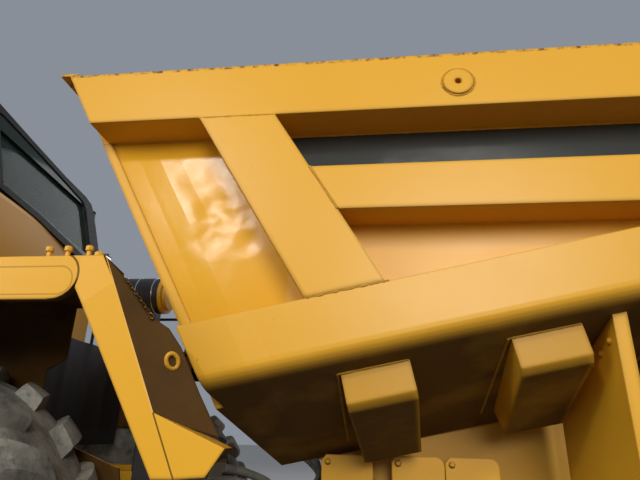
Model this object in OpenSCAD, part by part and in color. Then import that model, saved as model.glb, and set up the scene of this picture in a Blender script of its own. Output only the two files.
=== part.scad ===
// Six-wheel articulated dump truck. +X is forward, +Y the truck's left, +Z up, origin on the
// ground under the middle of the overall length. Millimetres and degrees.

/* [Overall] */
// Overall length, front of the bumper to the tail of the dump body
overall_l = 10900; // [10700:50:11100]
// Gap between two faces that move past each other
run_gap = 5; // [2:1:8]
// Radial clearance of a pin in its bore
pin_gap = 0.5; // [0.3:0.1:1]

/* [Wheels] */
// Outer diameter of a tyre
tyre_d = 1870; // [1830:10:1890]
// Section width of a tyre
tyre_w = 735; // [700:5:745]
// Sideways distance from the middle of the truck to the middle of a tyre
tyre_y = 1352; // [1345:1:1360]
// Diameter of the rim seat
rim_d = 640; // [600:10:680]
// Place of the front axle along X
front_axle_x = 2700; // [2690:5:2740]
// Place of the middle axle along X
mid_axle_x = -1700; // [-1740:5:-1680]
// Distance between the two rear axles
bogie_l = 1970; // [1930:5:2000]
// Diameter of a wheel spindle
spindle_d = 180; // [150:5:200]

/* [Hitch] */
// Place of the vertical steering pin along X
hitch_x = 860; // [850:2:870]
// Height of the oscillation axis and of the steering cylinders
hitch_z = 950; // [940:2:960]
// Diameter of the steering pin
hitch_pin_d = 140; // [120:5:160]
// Outer diameter of the oscillation trunnion
trunnion_d = 260; // [240:5:280]

/* [Dump body] */
// Outer width of the dump body
body_w = 3120; // [3090:5:3130]
// Height of the top of the side rail
rail_top_z = 3321; // [3300:1:3340]
// Height of the top side rail itself
rail_h = 306; // [290:1:320]
// Depth of the rails in front of the side sheet
rail_depth = 215; // [195:5:230]
// Forward lean of the front edge from vertical
front_lean = 29.5; // [28:0.1:30.5]
// Place of the lower front corner of the side beam along X
corner_x = 1246; // [1236:1:1250]
// Height of that corner
corner_z = 1713; // [1705:1:1725]
// Rise angle of the floor and the side beam towards the tail
floor_rise = 12; // [11.5:0.1:12.4]
// Height of the bent side beam
beam_h = 278; // [260:1:290]
// Slope of the underside towards the middle
vee = 19.5; // [18.5:0.1:20]
// Half width of the flat middle of the floor
flat_half = 500; // [490:1:520]
// Plate thickness of the tub
plate_t = 25; // [18:1:30]
// Bottom of the middle side rail
mid_rail_z = 2494; // [2480:1:2520]
// Height of the middle side rail
mid_rail_h = 220; // [200:1:240]
// Width of the slanted post along X
post_w = 385; // [360:1:400]
// Place of the post's front edge along X, at the underside of the top rail
post_x = 1398; // [1380:1:1410]
// Lean of the slanted post from vertical
post_lean = 31.2; // [30:0.1:32]
// Width of a box rib under the floor
rib_w = 297; // [280:1:310]
// Depth of a box rib below the underside
rib_depth = 160; // [140:1:170]
// Spacing of the ribs
rib_pitch = 714; // [700:1:730]
// Place of the first rib along X
rib_x = 552; // [545:1:560]
// Number of ribs on each side
ribs = 7; // [6:1:7]
// Diameter of the round boss on the top rail
boss_d = 140; // [120:1:160]
// Diameter of the hole in that boss
boss_hole_d = 32; // [24:1:40]
// Place of the boss along X
boss_x = 119; // [90:1:150]
// Place of the dump pivot along X
pivot_x = -4250; // [-4270:5:-4230]
// Height of the dump pivot
pivot_z = 1900; // [1890:1:1910]
// Diameter of the dump pivot pin
pivot_d = 120; // [100:1:130]

/* [Cylinders] */
// Outer diameter of a hoist barrel
hoist_d = 210; // [190:5:220]
// Diameter of a hoist rod
hoist_rod_d = 120; // [100:5:130]
// Sideways place of the hoist cylinders
hoist_y = 720; // [715:1:730]
// Outer diameter of a steering barrel
steer_d = 120; // [100:5:130]
// Diameter of a steering rod
steer_rod_d = 70; // [60:1:75]

/* [Front unit] */
// Half width over the front fenders
fender_y = 1760; // [1755:1:1770]
// Thickness of the folded fender wall
fender_t = 38; // [30:1:40]
// Height of the fender deck
deck_z = 2218; // [2205:1:2230]
// Place of the cab's rear wall along X, at the sill of its window
cab_x = 3045; // [3040:5:3060]
// Length of the cab
cab_l = 1400; // [1350:10:1450]
// Width of the cab
cab_w = 1560; // [1540:10:1580]
// Sideways offset of the cab's middle
cab_y = 180; // [160:5:190]
// Height of the cab's roof
cab_top_z = 3740; // [3700:10:3760]
// Forward lean of the rear window from vertical
cab_lean = 17; // [15:0.5:18]
// Wall thickness of the cab
cab_t = 50; // [45:1:60]
// Width of the hood
hood_w = 1400; // [1350:10:1450]

/* [Hidden] */
$fn = 64;
half_l = overall_l/2;
tyre_r = tyre_d/2;
axle_z = tyre_r;
rear_axle_x = mid_axle_x - bogie_l;
wheel_xs = [front_axle_x, mid_axle_x, rear_axle_x];
body_half = body_w/2;
sheet_y = body_half - rail_depth;
rail_z = rail_top_z - rail_h;
lean = tan(front_lean);
rise = tan(floor_rise);
floor_v = tan(vee);
floor_drop = (body_half - flat_half)*floor_v;
tail_x = -half_l;

// Height of the side beam's lower edge and top edge, and of the flat underside, at a place x
function low_z(x) = corner_z + (corner_x - x)*rise;
function beam_z(x) = low_z(x) + beam_h;
function under_z(x) = low_z(x) - floor_drop;
// Place of the leaning front edge at a height z
function front_x(z) = corner_x + (z - corner_z)*lean;
// Place along X where the side beam's top reaches a height z
function beam_x(z) = corner_x - (z - corner_z - beam_h)/rise;
// Front edge of the slanted post at a height z
function post_front(z) = post_x - (rail_z - z)*tan(post_lean);
// Where a leaning line that starts at x, z0 meets the top of the side beam
function meet_z(x, z0) =
    (corner_z + beam_h + (corner_x - x + z0*tan(post_lean))*rise)/(1 + rise*tan(post_lean));

// Pins and eyes of the cylinders
hoist_x = -1100;
hoist_z = 950;
hoist_pin_d = 70;
ear_x = -3400;
ear_z = 2050;
steer_x = hitch_x + 1250;
steer_y = 520;
steer_eye_x = hitch_x - 100;
steer_eye_y = 380;
steer_pin_d = 60;

yellow = [0.86, 0.62, 0.16];
dark = [0.12, 0.12, 0.13];
steel = [0.62, 0.64, 0.66];
rubber = [0.25, 0.25, 0.24];

// A side outline in X and Z, made into a plate from y0 to y1
module side_plate(pts, y0, y1) {
    translate([0, y1, 0]) rotate([90, 0, 0]) linear_extrude(y1 - y0) polygon(pts);
}
// A cross outline in Y and Z, made into a prism from x0 to x1
module cross_plate(pts, x0, x1) {
    translate([x0, 0, 0]) rotate([90, 0, 90]) linear_extrude(x1 - x0) polygon(pts);
}
// A plan outline in X and Y, made into a plate from z0 to z1
module plan_plate(pts, z0, z1) {
    translate([0, 0, z0]) linear_extrude(z1 - z0) polygon(pts);
}
// A box from its two far corners
module block(a, b) {
    translate(a) cube([b[0] - a[0], b[1] - a[1], b[2] - a[2]]);
}
// A round bar across the truck
module bar_y(x, z, d, y0, y1) {
    translate([x, y1, z]) rotate([90, 0, 0]) cylinder(d = d, h = y1 - y0);
}
// A round bar along the truck
module bar_x(y, z, d, x0, x1) {
    translate([x0, y, z]) rotate([0, 90, 0]) cylinder(d = d, h = x1 - x0);
}
// A round bar upright
module bar_z(x, y, d, z0, z1) {
    translate([x, y, z0]) cylinder(d = d, h = z1 - z0);
}
// Both sides of the truck
module both() {
    children();
    mirror([0, 1, 0]) children();
}

// Tractor: two rails, the fork of the steering pin, cross beams that carry cab and fenders
frame_in = 230;
frame_out = 310;
frame_top_z = 1300;
nose_x = half_l - 200;
hood_pin_x = nose_x - 38;
hood_pin_z = 1300;
hood_pin_d = 40;
cab_floor_z = deck_z + 12;
module front_frame() {
    color(yellow) {
        both() side_plate([[hitch_x + 600, 740], [hitch_x + 600, 1160], [1900, frame_top_z],
            [4300, frame_top_z], [4450, 1200], [nose_x, 1200], [nose_x, 1035], [nose_x + 100, 1035],
            [nose_x + 100, 860], [nose_x - 170, 860], [nose_x - 300, 1090], [2520, 1090], [2330, 740]],
            frame_in, frame_out);
        for (z = [hitch_z - 210, hitch_z + 150]) {
            plan_plate([[hitch_x, -190], [hitch_x + 620, -frame_in], [hitch_x + 620, frame_in],
                [hitch_x, 190]], z, z + 60);
            bar_z(hitch_x, 0, 380, z, z + 60);
        }
        block([hitch_x + 600, -frame_in, 740], [hitch_x + 660, frame_in, 1160]);
        for (x = [3150, 3900, 4650]) block([x, -frame_in, 1110], [x + 60, frame_in, 1190]);
        // Lugs and pins of the steering barrels
        both() for (z = [hitch_z - 66, hitch_z + 40])
            block([steer_x - 70, frame_out, z], [steer_x + 70, steer_y + 70, z + 26]);
        both() bar_z(steer_x, steer_y, steer_pin_d, hitch_z - 66, hitch_z + 66);
        // Cross beams under the cab and the fender decks
        for (x = [cab_x + 60, cab_x + cab_l - 260]) {
            block([x, -frame_out, frame_top_z], [x + 120, frame_out, 1480]);
            both() block([x, 190, 1480], [x + 120, frame_out, 1940]);
            block([x, -1300, 1940], [x + 120, 1300, deck_z - 20]);
            block([x, -880, deck_z - 20], [x + 120, 880, cab_floor_z]);
        }
        // Front cross member with the posts and pins of the hood
        block([nose_x - 100, -605, 900], [nose_x - 10, 605, 980]);
        both() block([hood_pin_x - 16, 575, 980], [hood_pin_x + 16, 605, hood_pin_z + 18]);
        both() bar_y(hood_pin_x, hood_pin_z, hood_pin_d, 535, 605);
    }
    color(steel) bar_z(hitch_x, 0, hitch_pin_d, hitch_z - 225, hitch_z + 225);
}

// Banjo axle with a spindle at each end
module axle(x) {
    bar_y(x, axle_z, 230, -980, 980);
    bar_y(x, axle_z, spindle_d, -tyre_y - 130, tyre_y + 130);
    translate([x, 0, axle_z]) sphere(d = 440);
    both() bar_y(x, axle_z, 420, 900, 960);
}
module front_axle() {
    color(dark) axle(front_axle_x);
    color(dark) both() block([front_axle_x - 90, frame_in, axle_z],
        [front_axle_x + 90, frame_out, 1090]);
}
module mid_axle() {
    color(dark) axle(mid_axle_x);
}
module rear_axle() {
    color(dark) axle(rear_axle_x);
}

module engine() {
    color(dark) block([4520, -330, 1200], [5080, 330, 1900]);
    // Radiator on its feet, seen through the grille
    color(dark) block([nose_x - 130, -520, 1240], [nose_x - 70, 520, 2150]);
    color(dark) both() block([nose_x - 130, frame_in + 2, 1200], [nose_x - 70, frame_out - 2, 1240]);
}

module bumper() {
    color(dark) difference() {
        plan_plate([[nose_x, -1500], [half_l - 120, -1500], [half_l, -1200], [half_l, 1200],
            [half_l - 120, 1500], [nose_x, 1500]], 620, 1100);
        both() bar_x(950, 900, 220, half_l - 90, half_l + 10);
        block([nose_x - 1, -1400, 680], [half_l - 100, 1400, 1040]);
    }
}
module headlamps() {
    color("white") both() bar_x(950, 900, 210, half_l - 90, half_l - 20);
}

// Cab: side outline of the outside, and the same moved in by its wall
cab_front_x = cab_x + cab_l;
cab_left = cab_y + cab_w/2;
cab_right = cab_y - cab_w/2;
door_x0 = cab_x + 250;
door_x1 = cab_x + 960;
door_pin_x = door_x0 - 8;
door_pin_y = cab_left + 18;
door_pin_d = 16;
door_z0 = cab_floor_z + 60;
door_z1 = cab_top_z - 250;
hinge_zs = [door_z0 + 250, door_z1 - 350];
cab_sill_z = 2960;
cab_sweep = 5;
roof_fall = 20.4;
roof_x = cab_x + 675;
function cab_side(d) = [[cab_x - 150, cab_floor_z + d],
    [cab_x - 150, cab_top_z - (roof_x - cab_x + 150)*tan(roof_fall) - d/cos(roof_fall)],
    [roof_x - d*tan(roof_fall/2), cab_top_z - d], [cab_front_x - 210 - d, cab_top_z - d],
    [cab_front_x - d, 2850], [cab_front_x - d, cab_floor_z + d]];
// Place of the rear wall, upright below the sill and leaning above it
module cab_rear(lean) {
    translate([cab_x, cab_y, cab_sill_z]) rotate([0, lean, cab_sweep]) children();
}
module behind_cab(d) {
    for (lean = [0, cab_lean]) cab_rear(lean) block([-800, -1300, -1200], [d, 1300, 1500]);
}
module cab_block(d) {
    difference() {
        side_plate(cab_side(d), cab_right + d, cab_left - d);
        behind_cab(d);
    }
}
rear_glass_y = cab_w/2 - 70;
module cab_shell() {
    color(yellow) difference() {
        cab_block(0);
        cab_block(cab_t);
        // Rear window, windscreen, right window and the door opening
        cab_rear(cab_lean) block([-10, -rear_glass_y, 30], [cab_t + 10, rear_glass_y, 560]);
        block([cab_front_x - 320, cab_right + 90, 2860], [cab_front_x + 10, cab_left - 90, cab_top_z - 150]);
        block([cab_x + 330, cab_right - 10, 2900], [cab_x + 1060, cab_right + cab_t + 10, cab_top_z - 260]);
        block([door_x0, cab_left - cab_t - 10, door_z0], [door_x1, cab_left + 10, door_z1]);
    }
    // Hinge brackets and pins of the door
    color(dark) for (z = hinge_zs) {
        block([door_pin_x - 15, cab_left, z - 30], [door_pin_x + 7, door_pin_y + 12, z - 1]);
        bar_z(door_pin_x, door_pin_y, door_pin_d, z - 30, z + 66);
    }
}
glass_in = 20;
module cab_glass() {
    color([0.2, 0.3, 0.3]) {
        cab_rear(cab_lean) block([glass_in, -rear_glass_y, 30], [glass_in + 8, rear_glass_y, 560]);
        block([cab_x + 330, cab_right + glass_in, 2900],
            [cab_x + 1060, cab_right + glass_in + 8, cab_top_z - 260]);
        intersection() {
            side_plate([[cab_front_x - 210 - glass_in, cab_top_z], [cab_front_x - glass_in, 2850],
                [cab_front_x - glass_in - 8, 2850], [cab_front_x - 218 - glass_in, cab_top_z]],
                cab_right + 90, cab_left - 90);
            block([cab_x, cab_right, 2860], [cab_front_x, cab_left, cab_top_z - 150]);
        }
    }
}
module cab_door() {
    color(yellow) difference() {
        block([door_x0 + 6, cab_left - 42, door_z0 + 6], [door_x1 - 6, cab_left - 2, door_z1 - 6]);
        block([door_x0 + 90, cab_left - 50, door_z0 + 560], [door_x1 - 90, cab_left + 10, door_z1 - 90]);
    }
    color([0.2, 0.3, 0.3]) block([door_x0 + 90, cab_left - 26, door_z0 + 560],
        [door_x1 - 90, cab_left - 18, door_z1 - 90]);
    // Knuckles that turn on the hinge pins
    color(dark) for (z = hinge_zs) difference() {
        union() {
            bar_z(door_pin_x, door_pin_y, 32, z, z + 60);
            block([door_pin_x, door_pin_y - 12, z + 4], [door_x0 + 30, door_pin_y, z + 56]);
            block([door_x0 + 12, cab_left - 2, z + 4], [door_x0 + 60, door_pin_y, z + 56]);
        }
        bar_z(door_pin_x, door_pin_y, door_pin_d + 2*pin_gap, z - 5, z + 65);
    }
}
module cab_interior() {
    f = cab_floor_z + cab_t;
    color(dark) {
        // Seat with its pedestal, then the dash and the steering wheel
        block([cab_x + 420, cab_y - 160, f], [cab_x + 700, cab_y + 160, f + 330]);
        block([cab_x + 330, cab_y - 260, f + 330], [cab_x + 830, cab_y + 260, f + 450]);
        block([cab_x + 240, cab_y - 250, f + 330], [cab_x + 335, cab_y + 250, f + 1080]);
        block([cab_front_x - 340, cab_right + 120, f], [cab_front_x - 90, cab_left - 120, f + 580]);
        bar_x(cab_y, f + 640, 50, cab_front_x - 470, cab_front_x - 340);
        difference() {
            bar_x(cab_y, f + 640, 420, cab_front_x - 500, cab_front_x - 470);
            bar_x(cab_y, f + 640, 350, cab_front_x - 510, cab_front_x - 460);
        }
        bar_x(cab_y, f + 640, 110, cab_front_x - 500, cab_front_x - 470);
        for (a = [0, 120, 240]) translate([cab_front_x - 497, cab_y, f + 640]) rotate([a, 0, 0])
            block([0, -18, 40], [22, 18, 190]);
        bar_x(cab_y, f + 600, 60, cab_front_x - 345, cab_front_x - 330);
    }
}

// Hood with its grille, hinged in front at its lower edge
hood_x0 = cab_front_x + 12;
hood_x1 = nose_x - 15;
module hood() {
    color(yellow) difference() {
        side_plate([[hood_x0, 1500], [hood_x0, 2560], [hood_x0 + 180, 2590], [hood_x1 - 160, 2380],
            [hood_x1, 2220], [hood_x1, 1330], [hood_x1 - 60, 1330], [hood_x1 - 60, 1500]],
            -hood_w/2, hood_w/2);
        side_plate([[hood_x0 - 10, 1490], [hood_x0 - 10, 2525], [hood_x0 + 180, 2555],
            [hood_x1 - 175, 2350], [hood_x1 - 35, 2205], [hood_x1 - 35, 1290], [hood_x1 - 70, 1290],
            [hood_x1 - 70, 1490]], -hood_w/2 + 35, hood_w/2 - 35);
        block([hood_x1 - 60, -hood_w/2 + 130, 1420], [hood_x1 + 10, hood_w/2 - 130, 2120]);
    }
    color(yellow) both() difference() {
        union() {
            block([hood_x1 - 45, 540, hood_pin_z], [hood_x1, 570, 1332]);
            bar_y(hood_pin_x, hood_pin_z, 60, 540, 570);
        }
        bar_y(hood_pin_x, hood_pin_z, hood_pin_d + 2*pin_gap, 530, 580);
    }
}
module grille() {
    color(dark) difference() {
        block([hood_x1 - 30, -hood_w/2 + 130, 1420], [hood_x1, hood_w/2 - 130, 2120]);
        for (i = [0 : 8]) block([hood_x1 - 40, -hood_w/2 + 170, 1450 + i*74],
            [hood_x1 + 10, hood_w/2 - 170, 1450 + i*74 + 44]);
    }
}

// Front fenders: deck, folded outer wall with a rear post, and a wing behind it
function arc(cx, cy, r, a0, a1, n) = [for (i = [0 : n]) let (a = a0 + (a1 - a0)*i/n)
    [cx + r*cos(a), cy + r*sin(a)]];
skirt_z = 2032;
post_fold = atan2(1595 - 1350, 2118 - 1607);
wing_fold = 26;
arch_y = 955;
module fender(inner) {
    y0 = fender_y - fender_t;
    // Skirt with a large round lower rear corner
    side_plate(concat([[3720, deck_z], [1746, deck_z]], arc(1856, skirt_z + 110, 110, 190, 270, 5),
        [[3720, skirt_z]]), y0, fender_y);
    // Slanted rear post
    side_plate([[1746, deck_z], [1652, deck_z], [1595, 2118], [1350, 1607], [1249, 1386], [1324, 1384],
        [1705, 2011], [1749, 2080]], y0, fender_y);
    // Wing behind the post, folded inwards along the post's rear edge
    translate([1350, fender_y, 1607]) rotate([0, post_fold, 0]) rotate([0, 0, wing_fold])
        side_plate([[0, 672], [-52, 541], [-87, 375], [-149, 288], [-170, 197], [-180, 3], [-197, -176],
            [0, -20]], -14, 0);
    // Folded box at the foot
    side_plate([[1350, 1607], [1067, 1491], [1130, 1396], [1249, 1386]], fender_y - 100, fender_y);
    // Deck, cut along the path of the dump body's corner
    plan_plate([[1652, y0], [3720, y0], [3720, inner], [hitch_x + 1370, inner], [hitch_x + 1370, 930],
        [hitch_x + 1100, 1250], [hitch_x + 830, 1500]], deck_z - 20, deck_z);
    // Front wall of the arch
    side_plate([[3720, deck_z], [3680, deck_z], [3860, 1500], [3860, 1380], [3900, 1380], [3900, 1500]],
        arch_y, fender_y);
    // Inner wall of the arch with its folded flange, clear of the tyre, the cross beam and the body's path
    difference() {
        side_plate([[3720, deck_z - 10], [2240, deck_z - 10], [2240, 1900], [2340, 1840], [2340, 1540],
            [2180, 1480], [1840, 1360], [1800, 1200], [2330, 1200], [2330, 1500], [2420, 1560],
            [3720, 1560]], arch_y, arch_y + 12);
        block([cab_x + 60 - 6, arch_y - 1, 1934], [cab_x + 180 + 6, arch_y + 13, deck_z]);
        bar_y(2080, 1330, 90, arch_y - 5, arch_y + 20);
    }
    block([1800, arch_y - 50, 1200], [2330, arch_y, 1212]);
    // Stiffeners under the deck, and the drop bracket inside the post
    for (x = [2300, 2900, 3400]) block([x, arch_y, deck_z - 110], [x + 14, y0, deck_z - 20]);
    block([1800, y0 - 90, deck_z - 90], [3700, y0 - 78, deck_z - 20]);
}
module fender_left() {
    color(yellow) fender(900);
}
module fender_right() {
    color(yellow) mirror([0, 1, 0]) fender(900);
}

module steps() {
    color(dark) both() {
        for (y = [1180, 1640]) side_plate([[3900, 560], [3900, 1490], [3935, 1490], [3935, 560]], y, y + 20);
        for (i = [0 : 3]) block([3905, 1200, 560 + i*300], [4065, 1640, 590 + i*300]);
    }
}
module handrails() {
    color(dark) both() {
        for (x = [2600, 3080, 3560]) bar_z(x, fender_y - 60, 38, deck_z, deck_z + 900);
        bar_x(fender_y - 60, deck_z + 900, 38, 2581, 3579);
        bar_x(fender_y - 60, deck_z + 470, 30, 2600, 3560);
    }
}
mirror_x = 3690;
mirror_y = fender_y - 85;
module mirrors() {
    color(dark) both() {
        bar_z(mirror_x, mirror_y, 34, deck_z, deck_z + 1250);
        block([mirror_x - 15, mirror_y - 75, deck_z + 760], [mirror_x + 15, mirror_y + 75, deck_z + 1230]);
    }
}
module air_cleaner() {
    color(dark) {
        bar_x(-1400, deck_z + 660, 380, 2760, 3300);
        bar_x(-1400, deck_z + 660, 300, 2720, 2760);
    }
    color(yellow) for (x = [2860, 3140]) block([x, -1520, deck_z], [x + 50, -1280, deck_z + 520]);
}
exhaust_x = 3590;
exhaust_y = -1030;
module exhaust() {
    color(dark) {
        bar_z(exhaust_x, exhaust_y, 240, deck_z, deck_z + 900);
        bar_z(exhaust_x, exhaust_y, 110, deck_z + 900, cab_top_z - 40);
    }
}

// Articulation casting: steering pin boss, ears of the steering rods, oscillation trunnion
module hitch_yoke() {
    color(yellow) difference() {
        union() {
            bar_z(hitch_x, 0, 330, hitch_z - 140, hitch_z + 140);
            plan_plate([[hitch_x, -150], [hitch_x, 150], [hitch_x - 330, 200], [hitch_x - 330, -200]],
                hitch_z - 130, hitch_z + 130);
            bar_x(0, hitch_z, 420, hitch_x - 400, hitch_x - 330);
            bar_x(0, hitch_z, trunnion_d, 110, hitch_x - 400);
            bar_x(0, hitch_z, 380, 110, 170);
        }
        bar_z(hitch_x, 0, hitch_pin_d + 2*pin_gap, hitch_z - 200, hitch_z + 200);
    }
    color(yellow) both() difference() {
        for (z = [hitch_z - 62, hitch_z + 36]) plan_plate([[hitch_x - 260, 150], [hitch_x - 40, 120],
            [steer_eye_x + 55, steer_eye_y + 50], [steer_eye_x - 55, steer_eye_y + 50]], z, z + 26);
        bar_z(hitch_x, 0, 300, hitch_z - 200, hitch_z + 200);
    }
}

// Rear frame
module rear_frame() {
    color(yellow) difference() {
        union() {
            both() side_plate([[420, 830], [420, 1250], [-600, 1300], [-3300, 1600], [-3300, 1170],
                [-1400, 1145], [-1180, 830]], 300, 480);
            both() side_plate([[-3300, 1170], [-3300, 1600], [pivot_x + 220, pivot_z + 90],
                [pivot_x, pivot_z + 120], [pivot_x - 120, pivot_z], [-4330, 1500], [-4000, 1180]], 300, 375);
            block([200, -480, 740], [420, 480, 1250]);
            for (x = [-700, -2750, -4150]) block([x, -300, x < -3000 ? 1400 : 1150],
                [x + 120, 300, x < -3000 ? 1500 : 1290]);
            // Outriggers and lugs of the hoist barrels
            both() {
                block([hoist_x - 80, 480, hoist_z - 70 - 2*run_gap - 38],
                    [hoist_x + 80, hoist_y + 65, hoist_z - 70 - 2*run_gap]);
                for (y = [hoist_y - 65, hoist_y + 41]) side_plate([[hoist_x - 80, hoist_z - 100],
                    [hoist_x + 80, hoist_z - 100], [hoist_x + 50, hoist_z + 70],
                    [hoist_x - 50, hoist_z + 70]], y, y + 24);
                bar_y(hoist_x, hoist_z, hoist_pin_d, hoist_y - 80, hoist_y + 80);
            }
            both() bar_y(pivot_x, pivot_z, pivot_d, 290, 490);
        }
        bar_x(0, hitch_z, trunnion_d + 2*pin_gap, 190, 430);
    }
}
beam_low = axle_z + 115;
module walking_beams() {
    color(dark) both() {
        side_plate([[mid_axle_x + 160, beam_low], [mid_axle_x + 160, beam_low + 110], [-2560, 1240],
            [-2810, 1240], [rear_axle_x - 160, beam_low + 110], [rear_axle_x - 160, beam_low],
            [rear_axle_x + 160, beam_low], [-2810, 1080], [-2560, 1080], [mid_axle_x - 160, beam_low]],
            500, 600);
        bar_y(-2685, 1180, 120, 480, 500);
    }
}
rest_xs = [665, 284, 0];
module body_rests() {
    color(yellow) both() {
        block([-120, 480, 1150], [870, 640, 1200]);
        for (x = rest_xs) {
            side_plate(concat([[x - 95, 1200], [x + 185, 1200], [x + 185, 1412], [x + 160, 1440]],
                arc(x - 50, 1395, 45, 90, 180, 4)), 600, 620);
            block([x + 35, 560, 1200], [x + 55, 600, 1360]);
        }
    }
}
module tail_lamps() {
    color("red") both() block([-4340, 170, 1455], [-4300, 290, 1525]);
    color(dark) block([-4300, -300, 1450], [-4240, 300, 1530]);
}

// Dump body: a vee trough that rises towards the tail, with upright sheets and a leaning front wall
front_wall_off = 40;
inner_y = sheet_y - plate_t;
bend_r = 90;
cosr = cos(floor_rise);
module incline() {
    translate([corner_x, 0, corner_z]) rotate([0, floor_rise, 0]) children();
}
// Cross outline along the incline, from a half outline that is mirrored
module incline_prism(half, x0, x1) {
    n = len(half);
    incline() cross_plate(concat([for (p = half) [p[0], p[1]*cosr]],
        [for (i = [n - 1 : -1 : 0]) [-half[i][0], half[i][1]*cosr]]), x0, x1);
}
// Side envelope of the body: leaning front, flat top, short slope at the tail
function envelope(off, low, high, rear) = [[front_x(low) + off, low], [front_x(high) + off, high],
    [rear + 200, high], [rear, high - 120], [rear, low]];
module trough() {
    t = bend_r*tan((90 - vee)/2);
    incline_prism(concat([[flat_half, -floor_drop]],
        arc(body_half - bend_r, t, bend_r, vee - 90, 0, 6), [[body_half, beam_h]]), -9000, 1500);
}
module dump_tub() {
    color(yellow) difference() {
        union() {
            intersection() {
                trough();
                union() {
                    side_plate(envelope(0, 1200, rail_top_z, tail_x), -body_half - 10, body_half + 10);
                    side_plate(envelope(front_wall_off, 1200, rail_top_z, tail_x), -sheet_y, sheet_y);
                }
            }
            // Upright sheets and front wall, down into the trough
            side_plate([[front_x(1800) + front_wall_off, 1800],
                [front_x(rail_top_z) + front_wall_off, rail_top_z], [tail_x + 200, rail_top_z],
                [tail_x, rail_top_z - 120], [tail_x, low_z(tail_x) + 100]], -sheet_y, sheet_y);
            // Lip along the top of the front wall
            block([front_x(rail_top_z) - 40, -body_half, rail_top_z],
                [front_x(rail_top_z) + front_wall_off + 12, body_half, rail_top_z + 14]);
        }
        // Load space
        intersection() {
            incline_prism([[flat_half - 15, plate_t - floor_drop], [inner_y, 100], [inner_y, 4000]],
                -9000, 2500);
            side_plate([[front_x(1000) + front_wall_off - plate_t*1.15, 1000],
                [front_x(3900) + front_wall_off - plate_t*1.15, 3900], [tail_x - 10, 3900],
                [tail_x - 10, 1000]], -inner_y, inner_y);
        }
    }
}
strip_z = corner_z + (beam_h - front_wall_off*rise)/(1 + lean*rise);
strip_w = 55;
module dump_rails() {
    color(yellow) both() difference() {
        rails_side();
        trough();
    }
}
seat_in = 3;
module rails_side() {
        // Top rail with its round boss
        difference() {
            union() {
                side_plate([[front_x(rail_z), rail_z], [front_x(rail_top_z), rail_top_z],
                    [beam_x(rail_top_z - seat_in), rail_top_z], [beam_x(rail_z - seat_in), rail_z]],
                    sheet_y, body_half);
                bar_y(boss_x, rail_z + 132, boss_d, body_half - 5, body_half + 10);
            }
            bar_y(boss_x, rail_z + 132, boss_hole_d, body_half - 40, body_half + 20);
        }
        // Middle rail, from the slanted post to the side beam
        side_plate([[post_front(mid_rail_z) - post_w, mid_rail_z],
            [post_front(mid_rail_z + mid_rail_h) - post_w, mid_rail_z + mid_rail_h],
            [beam_x(mid_rail_z + mid_rail_h - seat_in), mid_rail_z + mid_rail_h],
            [beam_x(mid_rail_z - seat_in), mid_rail_z]], sheet_y, body_half);
        // Slanted post
        side_plate([[post_x, rail_z], [post_front(meet_z(post_x, rail_z)), meet_z(post_x, rail_z) - seat_in],
            [post_front(meet_z(post_x - post_w, rail_z)) - post_w, meet_z(post_x - post_w, rail_z) - seat_in],
            [post_x - post_w, rail_z]], sheet_y, body_half);
        // Folded strip along the front edge
        side_plate([[front_x(strip_z) + front_wall_off, strip_z],
            [front_x(rail_z) + front_wall_off, rail_z],
            [front_x(rail_z) + front_wall_off - strip_w, rail_z],
            [front_x(strip_z) + front_wall_off - strip_w, strip_z + strip_w*rise]],
            sheet_y, sheet_y + 12);
}
rib_in = 680;
rib_out = 1430;
function vee_z(y) = -(body_half - y)*floor_v;
beam_y0 = 385;
beam_y1 = 475;
module dump_ribs() {
    color(yellow) both() {
        for (i = [0 : ribs - 1]) incline() translate([-(corner_x - rib_x + i*rib_pitch)/cosr, 0, 0])
            cross_plate([for (p = [[rib_out, vee_z(rib_out)], [rib_out, vee_z(rib_out) - rib_depth + 30],
                [rib_out - 30, vee_z(rib_out - 30) - rib_depth + 6],
                [rib_in + 90, vee_z(rib_in + 90) - rib_depth], [rib_in, vee_z(rib_in)]])
                [p[0], p[1]*cosr]], -rib_w/2, rib_w/2);
        // Long beam that rests on the frame and carries the pivot
        difference() {
            union() {
                side_plate([[900, under_z(900) + seat_in], [420, 1250 + run_gap], [-600, 1300 + run_gap],
                    [-3290, 1600 + run_gap], [pivot_x + 120, pivot_z - 110], [pivot_x, pivot_z - 120],
                    [pivot_x - 120, pivot_z], [pivot_x - 250, under_z(pivot_x - 250) + seat_in]],
                    beam_y0, beam_y1);
                bar_y(pivot_x, pivot_z, 250, beam_y0, beam_y1);
            }
            bar_y(pivot_x, pivot_z, pivot_d + 2*pin_gap, beam_y0 - 10, beam_y1 + 30);
            trough();
        }
        // Ears of the hoist rods, cut by the underside they are welded to
        for (y = [[hoist_y - 87, hoist_y - 62.5], [hoist_y + 62.5, hoist_y + 87]]) {
            difference() {
                side_plate([[ear_x + 110, ear_z + 450], [ear_x + 75, ear_z], [ear_x - 75, ear_z],
                    [ear_x - 105, ear_z + 450]], y[0], y[1]);
                trough();
            }
            bar_y(ear_x, ear_z, 150, y[0], y[1]);
        }
    }
}
guard_x = -441;
module mudguards() {
    color(yellow) both() difference() {
        union() {
            block([guard_x, 660, 1250], [guard_x + 8, 1450, 2150]);
            block([guard_x - 50, 1442, 1250], [guard_x, 1450, 2150]);
        }
        trough();
    }
}

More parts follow.
